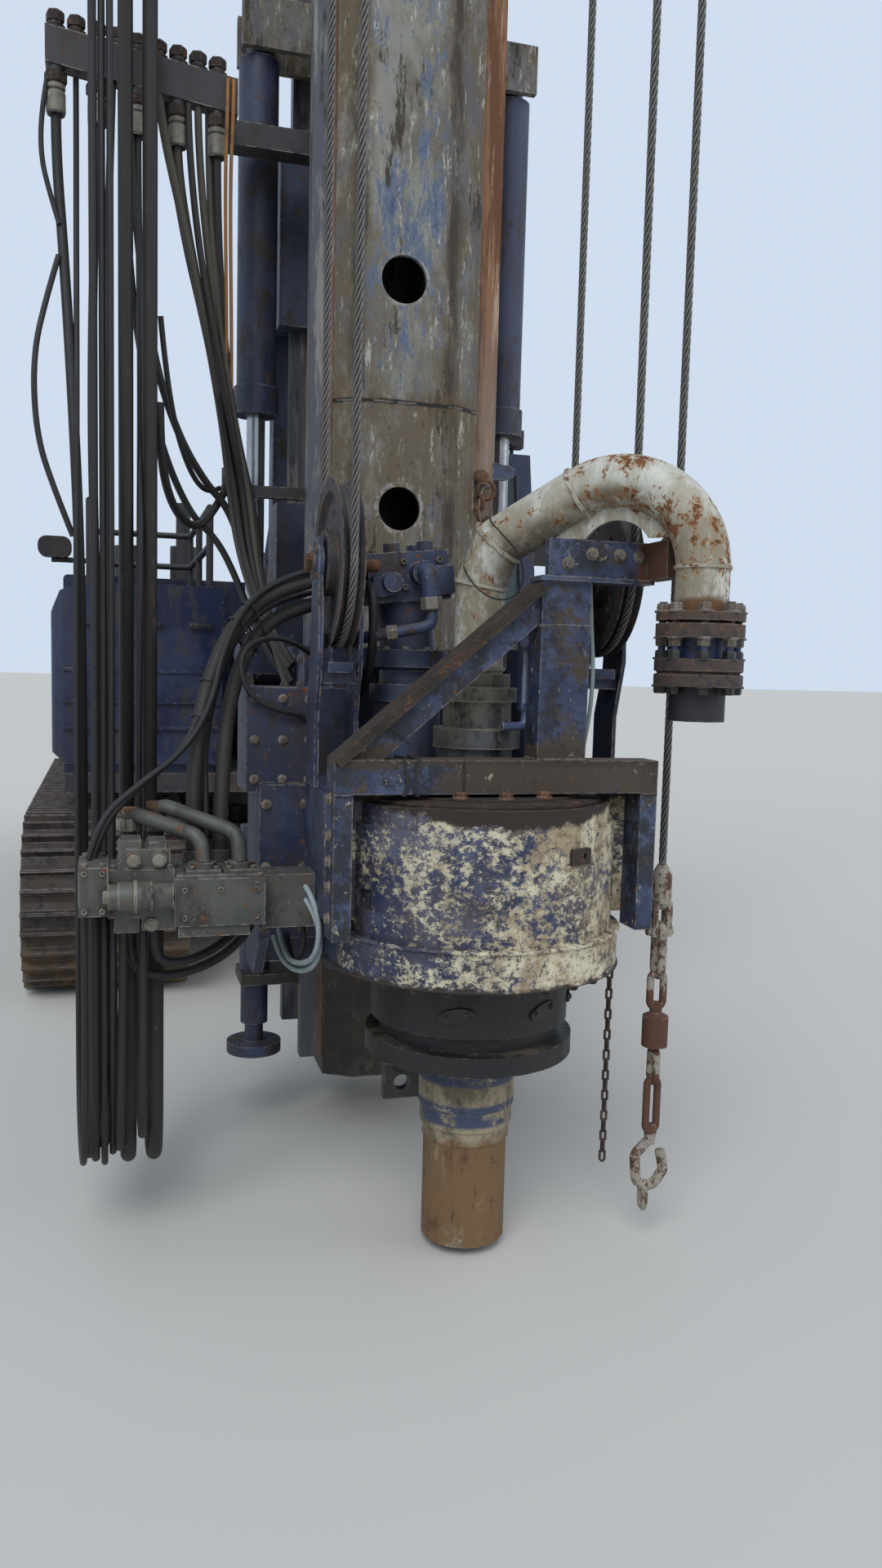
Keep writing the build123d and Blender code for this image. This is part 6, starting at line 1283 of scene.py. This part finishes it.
def add_valve_details():
    """Cap screws, flange screws, hexagon plugs and joints of the valve block."""
    screws = Piece("valve_screws", "carriage", "valve_paint", "bolt_steel")
    for x in VALVE_PORTS:
        for place in ring_of(x, 0.05, 1.129, 0.046, 4, 0.5):
            screws.cap_screw(place, UP, 0.008)
    on_top = [(x, p, 1.15) for p in (-0.025, 0.145) for x in (-1.07, -1.025)]
    on_top += [(x, p, 1.115) for p in (-0.025, 0.155) for x in (-0.828, -0.612)]
    on_top += [(-0.998, 0.0, 1.14), (-0.855, -0.005, 1.14), (-0.72, -0.025, 1.115)]
    for x, p, z in on_top:
        screws.cap_screw(at(x, p, z), UP, 0.0085)
    for x, z in ((-0.815, 1.085), (-0.625, 1.085), (-0.815, 1.01), (-0.625, 1.01), (-0.72, 1.085),
                 (-1.07, 1.135), (-1.025, 1.135), (-1.07, 1.035), (-1.025, 1.035)):
        screws.cap_screw(at(x, -0.04, z), FRONT, 0.008)
    screws.done(30)

    pads = Piece("valve_flanges", "carriage", "valve_paint")
    for x in VALVE_PORTS:
        pads.slab(at(x - 0.048, 0.002, 1.114), at(x + 0.048, 0.098, 1.130), 0.005)
    pads.slab(at(-0.836, -0.036, 1.1145), at(-0.604, -0.005, 1.124), 0.003)
    pads.done(30)

    plugs = Piece("valve_plugs", "carriage", "grey_steel", "collar_steel")
    for x, z in ((-0.945, 1.165), (-0.880, 1.165), (-0.900, 0.993)):
        plugs.bolt(at(x, -0.034, z), FRONT, 0.024, 0.016)
    plugs.turned(nut(0.030, 0.043, 0.002, 0.010, 0.012), at(-0.948, -0.06, 1.075), (1, 0, 0), 28)
    plugs.bolt(at(-1.010, -0.06, 1.075), (-1, 0, 0), 0.034, 0.016)
    for x in VALVE_PIPES:
        plugs.turned(nut(0.030, 0.0345, 0.004, 0.034, 0.038), at(x, 0.205, 1.211), UP, 6)
        plugs.turned([(0.0285, 0), (0.0285, 0.06), (0.026, 0.064)], at(x, 0.205, 1.125), UP, 18)
    plugs.done(30)
    rust = Piece("pipe_joints", "carriage", "rusty_steel")
    for x, z in zip(VALVE_PIPES, (1.255, 1.272)):
        rust.turned(nut(0.0235, 0.026, 0.004, 0.018, 0.022), at(x, 0.205, z), UP, 18)
    rust.done(30)


def add_manifold_details():
    """Hexagon nuts and pale ferrules on the manifold's fittings."""
    nuts = Piece("manifold_nuts", "mast", "grey_steel", "dark_iron")
    ferrules = Piece("manifold_ferrules", "mast", "grey_steel", "collar_steel")
    outer, drop = -1.19, 0.07 / 0.59
    for n in range(9):
        x = outer + 0.03 + n * 0.062
        fall = (x - outer) * drop
        nuts.bolt(at(x, MANIFOLD_P, 3.652 - fall), UP, 0.050, 0.034, washer=False)
        nuts.turned(nut(0.027, 0.031, 0.003, 0.026, 0.029), at(x, MANIFOLD_P, 3.615 - fall), UP, 6)
        if n % 2 == 0:
            nuts.turned(nut(0.030, 0.036, 0.004, 0.032, 0.036), at(x, MANIFOLD_P, 3.470 - fall), UP, 6)
            ferrules.turned(nut(0.0275, 0.0300, 0.003, 0.058, 0.062), at(x, MANIFOLD_P, 3.384 - fall), UP)
            ferrules.turned(nut(0.026, 0.0295, 0.003, 0.014, 0.017), at(x, MANIFOLD_P, 3.452 - fall), UP)
    nuts.done(30)
    ferrules.done(30)


def tie_round(piece, lines, share, spare=0.003):
    """A cable tie round one or more hoses that run side by side, at a share of the first one's length."""
    line = lines[0]
    n = int(share * (len(line) - 1))
    ahead = (line[min(n + 1, len(line) - 1)] - line[n - 1]).normalized()

    def off_plane(place):
        away = place - line[n]
        return abs(away.dot(ahead)) + 0.2 * away.length
    centres = [min(other, key=off_plane) for other in lines]
    middle = sum(centres, Vector()) / len(centres)
    side = centres[-1] - centres[0]
    side = side - ahead * side.dot(ahead)
    half = side.length / 2
    side = side.normalized() if half > 1e-4 else ahead.orthogonal().normalized()
    other = ahead.cross(side)
    band = ((-0.004, 0), (0.004, 0), (0.004, 0.002), (-0.004, 0.002))
    rings = []
    for t in turns(28):
        out = side * math.cos(t) + other * math.sin(t)
        place = middle + side * (half * max(-1, min(1, 1.6 * math.cos(t)))) + out * (0.026 + spare)
        rings.append([place + ahead * along + out * lift for along, lift in band])
    piece.loft(rings, closed=True)


def add_ties(lines):
    """Cable ties on the arc hoses."""
    ties = Piece("hose_ties", "carriage", "hose_rubber", "tie_black")
    arcs = [lines["arc_hose_outer"], lines["arc_hose_inner"]]
    for share in (0.30, 0.38):
        tie_round(ties, arcs, share)
    for share in (0.62, 0.74):
        tie_round(ties, arcs[:1], share, -0.001)
    ties.done(50)


def add_mast_details():
    """The peg, the rusted hook and its wire on the right rail, and the clips under the hoses' saddle."""
    peg = Piece("rail_peg", "mast", "navy_paint")
    peg.loft([[at(x, p, 2.405 + z) for p, z in ((0.927, -h), (0.967, -h), (0.967, h), (0.927, h))]
              for x, h in ((0.335, 0.030), (0.395, 0.024), (0.418, 0.014))])
    peg.done(30)
    lump = Piece("rail_hook", "mast", "rusty_steel")
    lump.turned([(0.010, 0), (0.026, 0.006), (0.030, 0.020), (0.024, 0.034), (0.012, 0.040)],
                at(0.285, 0.925, 2.375), FRONT, 14)
    lump.ring(at(0.300, 0.895, 2.330), (0.2, 1, 0.1), 0.030, 0.009)
    lump.ring(at(0.276, 0.899, 2.285), (1, 0.3, 0), 0.026, 0.008)
    lump.bent([at(0.276, 0.90, 2.262), at(0.268, 0.895, 2.235), at(0.292, 0.89, 2.215),
               at(0.310, 0.895, 2.238)], 0.008)
    lump.done(50)
    wire = Piece("rail_wire", "mast", "wire_rope", "collar_steel")
    wire.ring(at(0.296, 0.892, 2.345), (0.3, 0.2, 1), 0.020, 0.0022)
    wire.bent([at(0.29, 0.89, 2.34), at(0.27, 0.885, 2.30), at(0.275, 0.88, 2.22), at(0.30, 0.885, 2.16),
               at(0.315, 0.905, 2.12)], 0.0022, 6)
    wire.done(50)
    saddle = Piece("saddle_clips", "mast", "grey_steel", "dark_iron")
    for x, p, r in ((-0.953, 0.70, 0.034), (-0.88, 0.70, 0.034), (-1.022, 0.478, 0.016),
                    (-0.999, 0.468, 0.016)):
        saddle.turned(nut(r, r * 1.15, 0.006, 0.03, 0.036), at(x, p, 7.484), UP, 6)
    saddle.done(30)


def add_body_details():
    """Handles of the doors and the tank house, and the bolts along the engine house's sills."""
    trims = Piece("door_handles", "upperstructure", "black_paint")
    for s in (-1, 1):
        for z in (1.35, 1.95):
            trims.slab(at(s * 1.303 - 0.012, 6.36, z - 0.03), at(s * 1.303 + 0.012, 6.385, z + 0.03), 0.005)
    for x in (-1.12, -0.86, -0.60):
        trims.slab(at(x, 3.022, 1.86), at(x + 0.12, 3.034, 1.885), 0.004)
    trims.done(30)
    seams = Piece("panel_bolts", "upperstructure", "navy_paint", "bolt_steel")
    for s in (-1, 1):
        for n in range(8):
            seams.bolt(at(s * 1.29, 4.86 + 0.27 * n, 1.16), (s, 0, 0), 0.020)
    seams.done(30)


def add_carriage_bolts():
    """Bolts of the carriage's slide blocks and plates and of the gearbox and swivel flanges."""
    bolts = Piece("carriage_bolts", "carriage", "navy_paint", "bolt_steel")
    for s in (-1, 1):
        for z in (0.94, 1.05, 1.16, 1.52, 1.62, 1.71):
            for p in (0.70, 0.85, 0.98):
                bolts.bolt(at(s * 0.392, p, z), (s, 0, 0), 0.024)
    for columns, p, rows, across in (((-0.555, -0.44, -0.325), 0.30, (0.89, 1.08, 1.27), 0.022),
                                     ((-0.585, -0.50, -0.42), 0.36, (1.34, 1.46, 1.585), 0.020)):
        for x in columns:
            for z in rows:
                bolts.bolt(at(x, p, z), FRONT, across)
    for place in ring_of(0, 0, 1.395, 0.117, 12) + ring_of(0.215, 0.19, 1.39, 0.095, 12):
        bolts.bolt(place, UP, 0.016)
    bolts.done(30)


add_camera()
lines = {name: add_cord(name, *hose) for name, hose in HOSES.items()}
add_stage()
dress_cad()
add_ropes()
add_gooseneck_welds()
add_stack_nuts()
add_drum_bolts()
add_cover_lug()
add_chuck_covers()
add_brace_angle()
add_frame_bolts()
add_straps()
add_frame_welds()
add_junction_box()
add_motor_details()
add_sheave_details()
add_valve_details()
add_manifold_details()
add_ties(lines)
add_mast_details()
add_body_details()
add_carriage_bolts()
